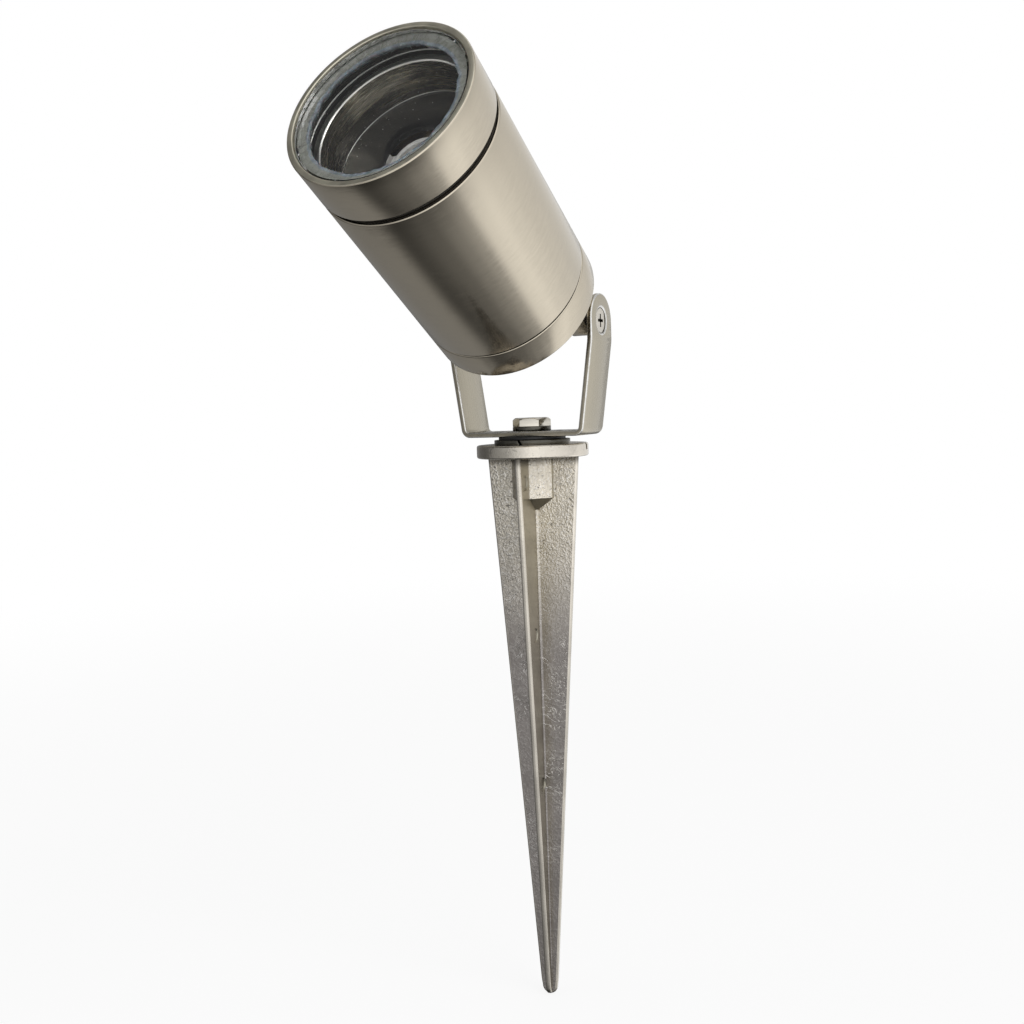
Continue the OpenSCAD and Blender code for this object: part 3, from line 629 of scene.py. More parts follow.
# Partly painted shade: the strap's sheared front and back faces, in a darker copy of the strap steel
SHADED_SIDE_STEEL = BrushedSteel("sheared_strap_side_painted_shade", (0.34, 0.31, 0.245), 0.3, lay=Lay.STRAP, lines_per_mm=2.4,
                          line_mm=3.0, lean=0.2, contrast=0.2)
# Painted shade: a near-black copy of the strap steel for the countersinks, the base's top under the head and
# the screws' cross recesses
SHADE_STEEL = BrushedSteel("painted_shade_steel", (0.07, 0.065, 0.05), 0.35, lay=Lay.STRAP, lines_per_mm=2.4,
                           line_mm=3.0, lean=0.2, contrast=0.3)
# Painted highlight: a near-white copy of the strap steel on the rounded edges
EDGE_STEEL = BrushedSteel("painted_highlight_edge_steel", (0.95, 0.92, 0.84), 0.18, lay=Lay.STRAP, lines_per_mm=1.5,
                          line_mm=1.6, lean=0.8, contrast=0.3)
BOLT_STEEL = BrushedSteel("plated_bolt_steel", (0.74, 0.7, 0.62), 0.14, lay=Lay.UPRIGHT, lines_per_mm=2.0,
                          line_mm=4.0, lean=0.12, contrast=0.1)
WASHER_STEEL = BrushedSteel("hardened_washer_steel", (0.11, 0.105, 0.09), 0.22, lay=Lay.UPRIGHT,
                            lines_per_mm=3.0, line_mm=5.0, lean=0.3, contrast=0.25)
OILED_STEEL = BrushedSteel("oiled_spring_steel", (0.12, 0.12, 0.12), 0.3, contrast=0.2)
BRASS = BrushedSteel("satin_brass", (0.78, 0.57, 0.25), 0.3, contrast=0.12)
CAST_SKIN = CastMetal("rough_cast_skin", (0.98, 0.91, 0.78), 0.27)
# Partly painted shade: the smooth draft faces of the deep fins, the boss's foot and corners and the marks, in
# a darker copy of the cast metal
SHADED_CAST_DRAFT = CastMetal("smooth_cast_draft_painted_shade", (0.42, 0.385, 0.3), 0.32, low_colour=(0.47, 0.44, 0.36),
                       grain=0.15, wrinkle=0.1, relief=0.35, sparkle=0.3)
CAST_RIM = CastMetal("rounded_cast_rim", (0.9, 0.84, 0.74), 0.22, low_colour=(0.7, 0.655, 0.58), grain=0.4,
                     wrinkle=0.0, relief=0.3, sparkle=0.3)
GLASS = ClearGlass("flat_lens_glass", (1.0, 1.0, 1.0), 0.0)
SEALANT = Silicone("bluish_silicone", (0.27, 0.315, 0.35), 0.22, streaks=0.3, lumps=0.08)
SEALANT_FILM = Silicone("pressed_silicone_film", (0.275, 0.285, 0.25), 0.3, streaks=0.04, lumps=0.0,
                        depth=0.0)
# Darker sealant beside the glass's edge
DARK_EDGE_SILICONE = Silicone("dark_edge_silicone", (0.1, 0.1, 0.085), 0.2, streaks=0.3, lumps=0.04)
RUBBER = Moulded("soft_black_rubber", (0.008, 0.008, 0.009), 0.42)
NYLON = Moulded("moulded_black_nylon", (0.014, 0.014, 0.015), 0.34)
ENAMEL = GlossBlack("black_enamel", (0.006, 0.006, 0.006), 0.12)
CERAMIC = Moulded("glazed_white_ceramic", (0.9, 0.89, 0.86), 0.32, grain_scale=1800.0)
WHITE_NYLON = Moulded("moulded_white_nylon", (0.74, 0.73, 0.68), 0.4)
SLEEVE = Moulded("woven_lead_sleeve", (0.62, 0.6, 0.55), 0.7, grain_scale=4000.0, grain_height=0.00012)


class Maker:
    """Shared ways of making a piece and handing it to the frame."""

    SHARP = math.radians(30)
    LATHE_SHARP = math.radians(25)
    FLAT = math.radians(0.8)

    @staticmethod
    def round_off(mesh: bmesh.types.BMesh, geom: Sequence, width: float, faces: int,
                  affect: str = "EDGES") -> None:
        """Rounds edges, or corners, by a width in millimetres and with a number of faces across."""
        bmesh.ops.bevel(mesh, geom=geom, offset=width * MM, offset_type="OFFSET", segments=faces, profile=0.5,
                        affect=affect, clamp_overlap=True, material=-1)

    @staticmethod
    def push_out(mesh: bmesh.types.BMesh, faces: Sequence, by: tuple[float, float, float]) -> list:
        """Extrudes faces, moves the new ones and gives their corners.

        Args:
            mesh: the mesh.
            faces: faces to extrude.
            by: the move, in millimetres.

        Returns:
            The new corners.
        """
        raised = bmesh.ops.extrude_face_region(mesh, geom=faces)["geom"]
        corners = [v for v in raised if isinstance(v, bmesh.types.BMVert)]
        bmesh.ops.translate(mesh, verts=corners, vec=Vector(by) * MM)
        return corners

    @staticmethod
    def rod(name: str, radius: float, length: float, middle: tuple[float, float, float], place: Matrix,
            steps: int = 48) -> bpy.types.Object:
        """Makes a round rod, used to join or to drill.

        Args:
            name: name of the solid.
            radius: its radius, in millimetres.
            length: its length along Z, in millimetres.
            middle: its middle, in millimetres.
            place: matrix to the row frame.
            steps: faces around.

        Returns:
            The solid.
        """
        mesh = bmesh.new()
        bmesh.ops.create_cone(mesh, cap_ends=True, segments=steps, radius1=radius * MM, radius2=radius * MM,
                              depth=length * MM)
        bmesh.ops.translate(mesh, verts=mesh.verts, vec=Vector(middle) * MM)
        mesh.transform(place)
        return Maker.object_from(name, mesh)

    @staticmethod
    def block(name: str, size: tuple[float, float, float], middle: tuple[float, float, float],
              place: Matrix, lean: float = 0.0) -> bpy.types.Object:
        """Makes a block, used to join or to notch.

        Args:
            name: name of the solid.
            size: its three sides, in millimetres.
            middle: its middle, in millimetres.
            place: matrix to the row frame.
            lean: its turn about X.

        Returns:
            The solid.
        """
        mesh = bmesh.new()
        bmesh.ops.create_cube(mesh, size=1.0)
        bmesh.ops.scale(mesh, verts=mesh.verts, vec=Vector(size) * MM)
        if lean:
            bmesh.ops.rotate(mesh, verts=mesh.verts, cent=(0, 0, 0), matrix=Matrix.Rotation(lean, 3, "X"))
        bmesh.ops.translate(mesh, verts=mesh.verts, vec=Vector(middle) * MM)
        mesh.transform(place)
        return Maker.object_from(name, mesh)

    @staticmethod
    def lathe(name: str, profile: Profile, place: Matrix, steps: int = 192, edge: float = 0.12,
              on_axis: bool = False, rounds: int = 2) -> bpy.types.Object:
        """Turns a profile about its axis and rounds its edges.

        Args:
            name: name of the piece.
            profile: radius and station of each corner, in millimetres.
            place: matrix from the lathe's frame to the row frame.
            steps: faces around.
            edge: rounding of the turned edges, in millimetres.
            on_axis: whether the profile starts and ends on the axis.
            rounds: faces across each rounding.

        Returns:
            The finished object.
        """
        mesh = bmesh.new()
        verts = [mesh.verts.new((r * MM, 0, s * MM)) for r, s in profile]
        pairs = list(zip(verts, verts[1:]))
        if not on_axis:
            pairs.append((verts[-1], verts[0]))
        edges = [mesh.edges.new(pair) for pair in pairs]
        bmesh.ops.spin(mesh, geom=verts + edges, cent=(0, 0, 0), axis=(0, 0, 1), dvec=(0, 0, 0),
                       angle=2 * math.pi, steps=steps, use_merge=True, use_duplicate=False)
        bmesh.ops.remove_doubles(mesh, verts=mesh.verts, dist=1e-7)
        bmesh.ops.recalc_face_normals(mesh, faces=mesh.faces)
        if edge:
            sharp = [e for e in mesh.edges
                     if len(e.link_faces) == 2 and e.calc_face_angle() > Maker.LATHE_SHARP]
            Maker.round_off(mesh, sharp, edge, rounds)
        mesh.transform(place)
        return Maker.object_from(name, mesh)

    @staticmethod
    def object_from(name: str, mesh: bmesh.types.BMesh) -> bpy.types.Object:
        """Puts a bmesh into a new, smooth-shaded object at the origin.

        Args:
            name: name of the piece.
            mesh: its mesh, in the row frame; it is freed.

        Returns:
            The object.
        """
        data = bpy.data.meshes.new(name)
        mesh.to_mesh(data)
        mesh.free()
        data.shade_smooth()
        made = bpy.data.objects.new(name, data)
        bpy.context.scene.collection.objects.link(made)
        return made

    @staticmethod
    def softened(node: str, name: str, width: float, edge_slot: int = -1) -> bpy.types.Object:
        """Copies a CAD node and rounds its sharp edges.

        Args:
            node: the CAD node.
            name: name of the piece.
            width: width of the rounding, in millimetres.
            edge_slot: material slot of the rounding, or -1 for the face's own.

        Returns:
            The finished object.
        """
        mesh = bmesh.new()
        mesh.from_mesh(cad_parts[node].data)
        bmesh.ops.remove_doubles(mesh, verts=mesh.verts, dist=2e-6)
        bmesh.ops.dissolve_limit(mesh, angle_limit=Maker.FLAT, verts=mesh.verts, edges=mesh.edges,
                                 delimit=set())
        made = Maker.object_from(name, mesh)
        rounding = made.modifiers.new("rounding", "BEVEL")
        rounding.width = width * MM
        rounding.segments = 2
        rounding.limit_method = "ANGLE"
        rounding.angle_limit = Maker.SHARP
        rounding.use_clamp_overlap = False
        rounding.harden_normals = True
        rounding.material = edge_slot
        return made

    @staticmethod
    def combine(base: bpy.types.Object, added: Sequence[bpy.types.Object],
                cut: Sequence[bpy.types.Object]) -> None:
        """Joins solids to a first one and takes others away from it.

        Args:
            base: the first solid, which keeps its name.
            added: solids joined to it; they are removed afterwards.
            cut: solids taken away from it; they are removed afterwards.
        """
        for solid, operation in [(s, "UNION") for s in added] + [(s, "DIFFERENCE") for s in cut]:
            step = base.modifiers.new(operation.lower(), "BOOLEAN")
            step.object = solid
            step.operation = operation
            step.solver = "EXACT"
        settled = base.evaluated_get(bpy.context.evaluated_depsgraph_get())
        joined = bpy.data.meshes.new_from_object(settled)
        base.modifiers.clear()
        base.data = joined
        for solid in (*added, *cut):
            bpy.data.objects.remove(solid)
        joined.shade_smooth()
        joined.set_sharp_from_angle(angle=Maker.SHARP)
        even = base.modifiers.new("even_shading", "WEIGHTED_NORMAL")
        even.keep_sharp = True

    @staticmethod
    def dress(piece: bpy.types.Object, body: str, slot: str, finishes: Sequence[Finish],
              nodes: Iterable[str]) -> None:
        """Gives a piece its finishes and hands it to the frame in place of CAD nodes.

        Args:
            piece: the object.
            body: body that it rides on.
            slot: the record's material slot; not used.
            finishes: one for each material slot of the mesh.
            nodes: CAD nodes that it stands for.
        """
        slots = [face.material_index for face in piece.data.polygons]
        piece.data.materials.clear()
        for finish in finishes:
            piece.data.materials.append(finish.material())
        for face, number in zip(piece.data.polygons, slots):
            face.material_index = number
        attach(piece, body)
        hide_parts(*nodes)
        LOG.info("%s: %d faces, on %s, for %s", piece.name, len(piece.data.polygons), body, ", ".join(nodes))

    @staticmethod
    def paint(finish: Finish, *nodes: str) -> None:
        """Gives CAD nodes that keep their shape a better material.

        Args:
            finish: the finish.
            nodes: names of the nodes.
        """
        for node in nodes:
            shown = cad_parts[node]
            shown.data.materials.clear()
            shown.data.materials.append(finish.material())
            LOG.info("%s: painted %s", node, finish.name)

    @staticmethod
    def sort_faces(piece: bpy.types.Object, place: Matrix,
                   choose: Callable[[float, float, float], int]) -> None:
        """Gives each face the material slot that a rule picks for it.

        Args:
            piece: the object.
            place: matrix from the piece's own frame to the row frame.
            choose: gives a slot for a face's radius, station and outward lean, in millimetres.
        """
        back = place.inverted()
        turn = back.to_3x3()
        for face in piece.data.polygons:
            spot = back @ face.center
            lean = (turn @ face.normal).dot(Vector((spot.x, spot.y, 0)).normalized())
            face.material_index = int(choose(math.hypot(spot.x, spot.y) / MM, spot.z / MM, lean))


@dataclass
class TiltHead:
    """The turned head: front cap, tube, rear cap, seals and the lamp room with its plate and holder."""

    head_r: float = 32.0
    chamfer: float = 0.35
    rear_seam: float = 27.1
    tube_start: float = 27.6
    shoulder: float = 99.1
    neck_end: float = 105.0
    cap_start: float = 101.0
    face: float = 116.8
    plate: float = 92.2
    room_r: float = 25.9
    bore_r: float = 27.0
    socket_r: float = 28.6
    neck_r: float = 28.7
    cap_bore_r: float = 29.0
    recess_r: float = 29.9
    ledge_r: float = 27.0
    ledge_top: float = 111.9
    ledge_low: float = 109.3
    last_turn: float = 106.4
    groove_depth: float = 1.3
    mouth: float = 0.45
    burr: float = 0.2
    holder_r: float = 10.4
    holder_front: float = 88.7
    holder_h: float = 11.0
    holder_rim: float = 1.6
    holder_gap: float = 0.85
    holder_moat: float = 3.0
    moat_depth: float = 3.6
    core_drop: float = 0.9
    contact_pitch: float = 5.3
    contact_hole: float = 2.4
    ear_pitch: float = 27.0
    ear_w: float = 9.0
    ear_t: float = 5.0
    plate_t: float = 2.0
    screw_hole: float = 3.1

    def front_cap(self) -> None:
        """Turns the front cap, with its rim, glass recess and ledge."""
        c, r = self.chamfer, self.head_r
        piece = Maker.lathe("front_cap_turned", [
            (self.cap_bore_r, self.cap_start), (r - c, self.cap_start), (r, self.cap_start + c),
            (r, self.face - c), (r - c, self.face), (self.recess_r + 0.2, self.face),
            (self.recess_r, self.face - 0.2),
            (self.recess_r, self.ledge_top), (self.ledge_r, self.ledge_top), (self.ledge_r, self.ledge_low),
            (self.cap_bore_r, self.ledge_low), (self.cap_bore_r, self.last_turn + 0.25),
            (self.cap_bore_r - 0.3, self.last_turn), (self.cap_bore_r, self.last_turn - 0.25)],
            HEAD_PLACE, edge=0.08)
        # Slot 2 paints shade on the cap's inner bore and back face
        Maker.sort_faces(piece, HEAD_PLACE, lambda radius, station, lean:
                         0 if radius > self.head_r - 0.2 else 1 if station > self.ledge_top + 0.1 else
                         # Slot 3 paints light on the ring at the last turn of the bore
                         3 if self.last_turn < station < self.last_turn + 0.25 else 2)
        Maker.dress(piece, "front_ring", "head_steel", (HEAD_STEEL, RIM_STEEL, SEAM_AND_BORE_SHADE_STEEL, MOUTH_STEEL),
                    ["front_cap"])

    def tube(self) -> None:
        """Turns the long tube, with its neck, lamp room and inner bores."""
        c, r = self.chamfer, self.head_r
        piece = Maker.lathe("body_tube_turned", [
            (self.room_r, self.neck_end - self.mouth), (self.room_r + self.mouth, self.neck_end),
            (self.neck_r - c, self.neck_end), (self.neck_r, self.neck_end - c),
            (self.neck_r, self.shoulder), (r - c, self.shoulder), (r, self.shoulder - c),
            (r, self.tube_start + c),
            (r - c, self.tube_start), (self.socket_r, self.tube_start), (self.socket_r, 35.1),
            (self.bore_r, 35.1), (self.bore_r, self.plate), (self.room_r - self.burr, self.plate),
            (self.room_r, self.plate + self.burr)], HEAD_PLACE, edge=0.1)
        # Slot 2 paints shade on the rear chamfer and end, as the dark seam line
        Maker.sort_faces(piece, HEAD_PLACE, lambda radius, station, lean:
                         2 if station < self.tube_start + self.chamfer and lean < 0.97 else
                         0 if radius > self.neck_r + 0.5 or station < self.plate else
                         # Slot 3 paints highlights on the burr at the plate and on the mouth's inner chamfer
                         3 if radius < self.room_r - 0.02 else
                         1 if lean < -0.8 else 3 if lean < -0.2 and radius < self.room_r + self.mouth + 0.2
                         # Slot 4 paints light on the neck's end and outer chamfer
                         else 4)
        Maker.dress(piece, "head", "head_steel",
                    (HEAD_STEEL, BORE_STEEL, SEAM_AND_BORE_SHADE_STEEL, CHAMFER_STEEL, MOUTH_STEEL), ["body_tube"])

    def rear(self) -> None:
        """Softens the rear cap and makes the two seals."""
        piece = Maker.softened("rear_cap", "rear_cap_turned", 0.18)
        Maker.dress(piece, "head", "head_steel", (HEAD_STEEL,), ["rear_cap"])
        outer = self.head_r - self.groove_depth
        gap = self.cap_start - self.shoulder
        ring = Maker.lathe("front_seal_ring", [
            (self.neck_r + 0.05, self.shoulder), (outer - 0.5, self.shoulder),
            (outer - 0.12, self.shoulder + 0.25), (outer, self.shoulder + gap / 2),
            (outer - 0.12, self.cap_start - 0.25), (outer - 0.5, self.cap_start),
            (self.neck_r + 0.05, self.cap_start)], HEAD_PLACE, edge=0.0)
        Maker.dress(ring, "head", "black_rubber", (RUBBER,), ["front_seal"])
        ring = Maker.lathe("rear_seal_ring", [
            (self.socket_r, self.rear_seam), (outer, self.rear_seam), (outer, self.tube_start),
            (self.socket_r, self.tube_start)], HEAD_PLACE, edge=0.05)
        Maker.dress(ring, "head", "black_rubber", (RUBBER,), ["rear_seal"])

    def lampholder(self) -> None:
        """Turns the ceramic lampholder, adds its two ears and cuts its holes."""
        front, back = self.holder_front, self.holder_front - self.holder_h
        r = self.holder_r
        inner = r - self.holder_rim
        ear_top = self.plate - self.plate_t
        piece = Maker.lathe("lampholder_glazed", [
            (0, back), (r, back), (r, front), (inner, front), (inner, front - self.moat_depth),
            (inner - self.holder_moat, front - self.moat_depth),
            (inner - self.holder_moat, front - self.core_drop), (0, front - self.core_drop)],
            HEAD_PLACE, steps=96, edge=0.4, on_axis=True, rounds=3)
        added, cut = [], []
        for side in (-1, 1):
            added.append(Maker.rod("ear_end", self.ear_w / 2, self.ear_t,
                                   (self.ear_pitch / 2 * side, 0, ear_top - self.ear_t / 2), HEAD_PLACE))
            reach = self.ear_pitch / 2 - r + 1.0
            low = ear_top - self.ear_t
            height = min(ear_top, front - 0.5) - low
            added.append(Maker.block(
                "ear_bridge", (reach, self.ear_w, height),
                (side * (self.ear_pitch / 2 - reach / 2), 0, low + height / 2), HEAD_PLACE))
            for offset, width in ((self.contact_pitch / 2, self.contact_hole),
                                  (self.ear_pitch / 2, self.screw_hole)):
                cut.append(Maker.rod("pin_hole", width / 2, 4 * self.holder_h, (offset * side, 0, front),
                                     HEAD_PLACE, steps=32))
        gap = r + self.holder_gap
        cut.append(Maker.lathe("hole_clearance", [
            (0, front + 0.02), (r + 0.02, front + 0.02), (r + 0.02, front - 0.5), (gap, front - 0.5),
            (gap, ear_top + 1.0), (0, ear_top + 1.0)], HEAD_PLACE, steps=96, edge=0.0, on_axis=True))
        Maker.combine(piece, added, cut)
        Maker.dress(piece, "head", "white_ceramic", (CERAMIC,), ["lampholder"])

    def lamp_room(self) -> None:
        """Dresses the plate, snap ring and contacts."""
        piece = Maker.softened("lamp_plate", "lamp_plate_enamelled", 0.2)
        Maker.dress(piece, "head", "black_plate", (ENAMEL,), ["lamp_plate"])
        Maker.paint(OILED_STEEL, "plate_circlip")
        Maker.paint(BRASS, "lampholder_contacts")

    def build(self) -> None:
        """Makes all of the head's pieces."""
        self.front_cap()
        self.tube()
        self.rear()
        self.lampholder()
        self.lamp_room()


@dataclass
class LensUnit:
    """Glass disc and the sealant squeezed out under it and up beside its edge."""

    glass_r: float = 29.6
    glass_low: float = 112.3
    glass_top: float = 116.3
    ground: float = 0.4
    ledge_r: float = 27.0
    ledge_top: float = 111.9
    recess_r: float = 29.9
    bead_r: float = 26.7
    bead_w: float = 1.4
    film_r: float = 26.3
    bead_h: float = 1.2
    edge_top: float = 115.6
    slack: float = 0.03

    def glass(self) -> None:
        """Turns the glass disc, with ground edges."""
        ground = self.ground
        piece = Maker.lathe("lens_glass_disc", [
            (0, self.glass_low), (self.glass_r - ground, self.glass_low),
            (self.glass_r, self.glass_low + ground),
            (self.glass_r, self.glass_top - ground), (self.glass_r - ground, self.glass_top),
            (0, self.glass_top)], HEAD_PLACE, edge=0.0, on_axis=True)
        piece.data.set_sharp_from_angle(angle=math.radians(20))
        Maker.dress(piece, "lens_unit", "clear_glass", (GLASS,), ["lens_glass"])

    def sealant(self) -> None:
        """Turns the sealant, then roughens its free inner edge and its outer one beside the glass."""
        inner = self.bead_r - self.bead_w
        low = self.ledge_top - self.bead_h
        near, far = self.glass_r + self.slack, self.recess_r - self.slack
        piece = Maker.lathe("lens_sealant_bead", [
            (inner + 0.3, low), (self.bead_r, low), (self.bead_r, self.ledge_top),
            (self.ledge_r, self.ledge_top),
            (far, self.ledge_top), (far, self.edge_top), (near, self.edge_top), (near, self.glass_low),
            (self.ledge_r, self.glass_low), (self.film_r, self.glass_low), (inner, self.glass_low),
            (inner - 0.1, self.glass_low - 0.5)],
            HEAD_PLACE, steps=420, edge=0.0)
        Maker.sort_faces(piece, HEAD_PLACE, lambda radius, station, lean:
                         0 if radius < self.film_r or station < self.ledge_top else
                         1 if radius < self.glass_r else 2)
        back = HEAD_PLACE.inverted()
        for vertex in piece.data.vertices:
            spot = back @ vertex.co
            radius = math.hypot(spot.x, spot.y) / MM
            angle = math.atan2(spot.y, spot.x)
            around = Vector((math.cos(angle), math.sin(angle), 0.0))
            if radius < self.bead_r - 0.2:
                wave = 0.5 * noise.noise(around * 4.0) + 0.35 * noise.noise(around * 14.0 + Vector((3, 1, 7)))
                spot += around * (wave + 0.12 * noise.noise(around * 40.0)) * MM
                if spot.z < (self.glass_low - 0.1) * MM:
                    spot.z += noise.noise(around * 21.0) * 0.15 * MM
            elif spot.z > (self.edge_top - 0.1) * MM:
                spot.z += (0.3 * noise.noise(around * 7.0) + 0.15 * noise.noise(around * 33.0) - 0.2) * MM
            vertex.co = HEAD_PLACE @ spot
        Maker.dress(piece, "lens_unit", "silicone", (SEALANT, SEALANT_FILM, DARK_EDGE_SILICONE), ["lens_sealant"])

    def build(self) -> None:
        """Makes glass and sealant."""
        self.glass()
        self.sealant()


@dataclass
class Wiring:
    """What is hidden behind the plate, and the cable gland on the rear cap."""

    def build(self) -> None:
        """Dresses terminal block, leads, bracket and gland."""
        piece = Maker.softened("terminal_block", "terminal_block_moulded", 0.35)
        Maker.dress(piece, "head", "white_nylon", (WHITE_NYLON,), ["terminal_block"])
        Maker.paint(BRASS, "terminal_clamps")
        Maker.paint(SLEEVE, "lamp_leads")
        Maker.paint(BOLT_STEEL, "holder_screws", "terminal_screws", "terminal_bracket", "bracket_screws")
        for node, finish, slot, width in (
                ("gland_body", HEAD_STEEL, "head_steel", 0.25), ("gland_nut", HEAD_STEEL, "head_steel", 0.25),
                ("gland_seal", RUBBER, "black_rubber", 0.25), ("gland_o_ring", RUBBER, "black_rubber", 0.2)):
            piece = Maker.softened(node, node + "_finished", width)
            Maker.dress(piece, "head", slot, (finish,), [node])


@dataclass
class YokeArm:
    """Strap yoke with its pivot screws and washers."""

    edge_round: float = 0.42
    base_top: float = 10.0
    sink_r: float = 6.0
    recess_r: float = 2.7

    def build(self) -> None:
        """Softens the strap, with painted highlights on its rounded edges, and dresses the hardware."""
        piece = Maker.softened("yoke", "yoke_strap", self.edge_round, edge_slot=1)
        for face in piece.data.polygons:
            spot, normal = face.center / MM, face.normal
            sunk = math.hypot(spot.y, spot.z - PIVOT_Z) < self.sink_r and abs(normal.x) < 0.9
            # Painted shade in the countersinks and on the base's top, which take slot 3
            shaded = sunk or (normal.z > 0.9 and spot.z < self.base_top + 1)
            # Slot 2 holds the sheared front and back faces, in the darker copy that paints shade on them
            face.material_index = 3 if shaded else 2 if abs(normal.y) > 0.9 else 0
        Maker.dress(piece, "yoke_arm", "yoke_steel", (YOKE_STEEL, EDGE_STEEL, SHADED_SIDE_STEEL, SHADE_STEEL),
                    ["yoke"])
        piece = Maker.softened("pivot_screws", "pivot_screws_plated", 0.12)
        head = max(abs(vertex.co.x) for vertex in piece.data.vertices) / MM
        for face in piece.data.polygons:
            spot = face.center / MM
            # Painted shade in the cross recess, which takes slot 1
            deep = abs(spot.x) < head - 0.1 and math.hypot(spot.y, spot.z - PIVOT_Z) < self.recess_r
            face.material_index = int(deep)
        Maker.dress(piece, "yoke_arm", "fastener_steel", (BOLT_STEEL, SHADE_STEEL), ["pivot_screws"])
        for node, finish, slot, width in (("pivot_washers", NYLON, "black_nylon", 0.2),
                                          ("swivel_washer", RUBBER, "black_rubber", 0.25)):
            piece = Maker.softened(node, node + "_moulded", width)
            Maker.dress(piece, "yoke_arm", slot, (finish,), [node])


@dataclass
class SpikeBase:
    """Cast spike with the bolt and the two split rings."""

    flange_r: float = 21.6
    flange_t: float = 5.0
    flange_round: float = 0.8
    blade: float = 217.0
    fin_top: float = 36.9
    fin_low: float = 7.0
    point: float = 6.0
    tip_share: float = 0.88
    fin_t: float = 2.2
    fin_round: float = 0.8
    turn: float = math.radians(6)
    root_top: float = 3.1
    root_low: float = 2.5
    boss: float = 14.2
    boss_h: float = 15.8
    boss_corner: float = 3.4
    boss_point: float = 6.8
    boss_round: float = 0.12
    tap_r: float = 4.05
    tap_depth: float = 14.3
    root_short: float = 12.0
    root_point: float = 10.0
    mark_r: float = 2.9
    mark_slope: float = 0.5
    mark_dent: float = 0.45
    mark_shares: tuple[tuple[float, float], ...] = ((0.044, 0.73), (0.318, 0.5), (0.596, 0.43))
    nick: tuple[float, float, float] = (1.4, 1.6, 3.6)
    nick_at: tuple[float, float, float] = (21.5, 2.8, 4.2)
    nick_lean: float = 0.25
    sunk: float = 2.0

    def cast_slots(self, piece: bpy.types.Object, slot: int | None = None) -> bpy.types.Object:
        """Gives a helper solid the casting's three finishes, so that they last through the joining.

        Args:
            piece: the solid.
            slot: slot of all its faces, or None where the faces already have theirs.

        Returns:
            The same solid.
        """
        slots = [face.material_index for face in piece.data.polygons]
        for finish in (CAST_SKIN, SHADED_CAST_DRAFT, CAST_RIM):
            piece.data.materials.append(finish.material())
        for face, number in zip(piece.data.polygons, slots):
            face.material_index = number if slot is None else slot
        return piece

    def fin_pair(self, name: str, turn: float, side_slot: int) -> bpy.types.Object:
        """Makes two opposite fins as one tapering slab with rounded outer edges and tip.

        Args:
            name: name of the solid.
            turn: its angle about the spike's axis.
            side_slot: finish slot of its wide faces.

        Returns:
            The solid.
        """
        half_top, half_low = self.fin_top / 2 * MM, self.fin_low / 2 * MM
        tip_r = half_low * self.tip_share
        tip_z = tip_r - self.blade * MM
        top = self.sunk * MM
        mesh = bmesh.new()
        line = [mesh.verts.new((x, 0, z)) for x, z in (
            (0, top), (half_top, top), (half_top, 0), (half_low, (self.point - self.blade) * MM),
            (tip_r, tip_z))]
        for pair in zip(line, line[1:]):
            mesh.edges.new(pair)
        bmesh.ops.spin(mesh, geom=[line[-1]], cent=(0, 0, tip_z), axis=(0, 1, 0), dvec=(0, 0, 0),
                       angle=math.pi / 2, steps=8, use_duplicate=False)
        bmesh.ops.mirror(mesh, geom=mesh.verts[:] + mesh.edges[:], matrix=Matrix(), merge_dist=1e-6,
                         axis="X")
        bmesh.ops.remove_doubles(mesh, verts=mesh.verts, dist=1e-6)
        bmesh.ops.edgenet_fill(mesh, edges=mesh.edges)
        Maker.push_out(mesh, mesh.faces[:], (0, self.fin_t, 0))
        bmesh.ops.translate(mesh, verts=mesh.verts, vec=(0, -self.fin_t / 2 * MM, 0))
        bmesh.ops.recalc_face_normals(mesh, faces=mesh.faces)
        rims = [e for e in mesh.edges if any(abs(f.normal.y) > 0.9 for f in e.link_faces)
                and min(v.co.z for v in e.verts) < top - 1e-6]
        Maker.round_off(mesh, rims, self.fin_round, 4)
        for face in mesh.faces:
            face.material_index = side_slot if abs(face.normal.y) > 0.99 else 2
        bmesh.ops.rotate(mesh, verts=mesh.verts, cent=(0, 0, 0), matrix=Matrix.Rotation(turn, 3, "Z"))
        return self.cast_slots(Maker.object_from(name, mesh))

    def root(self) -> bpy.types.Object:
        """Makes the tapering core, whose four faces chamfer the roots of the fins.

        Returns:
            The solid.
        """
        mesh = bmesh.new()
        length = self.blade + self.sunk - self.root_short
        bmesh.ops.create_cone(mesh, cap_ends=True, segments=4, radius1=self.root_low * MM,
                              radius2=self.root_top * MM, depth=length * MM)
        bmesh.ops.translate(mesh, verts=mesh.verts, vec=(0, 0, (self.sunk - length / 2) * MM))
        foot = [f for f in mesh.faces if f.normal.z < -0.9]
        ends = Maker.push_out(mesh, foot, (0, 0, -self.root_point))
        bmesh.ops.scale(mesh, verts=ends, vec=(0.3, 0.3, 1.0))
        bmesh.ops.delete(mesh, geom=[f for f in foot if f.is_valid], context="FACES_ONLY")
        bmesh.ops.rotate(mesh, verts=mesh.verts, cent=(0, 0, 0), matrix=Matrix.Rotation(self.turn, 3, "Z"))
        bmesh.ops.recalc_face_normals(mesh, faces=mesh.faces)
        return self.cast_slots(Maker.object_from("root_core", mesh), 0)

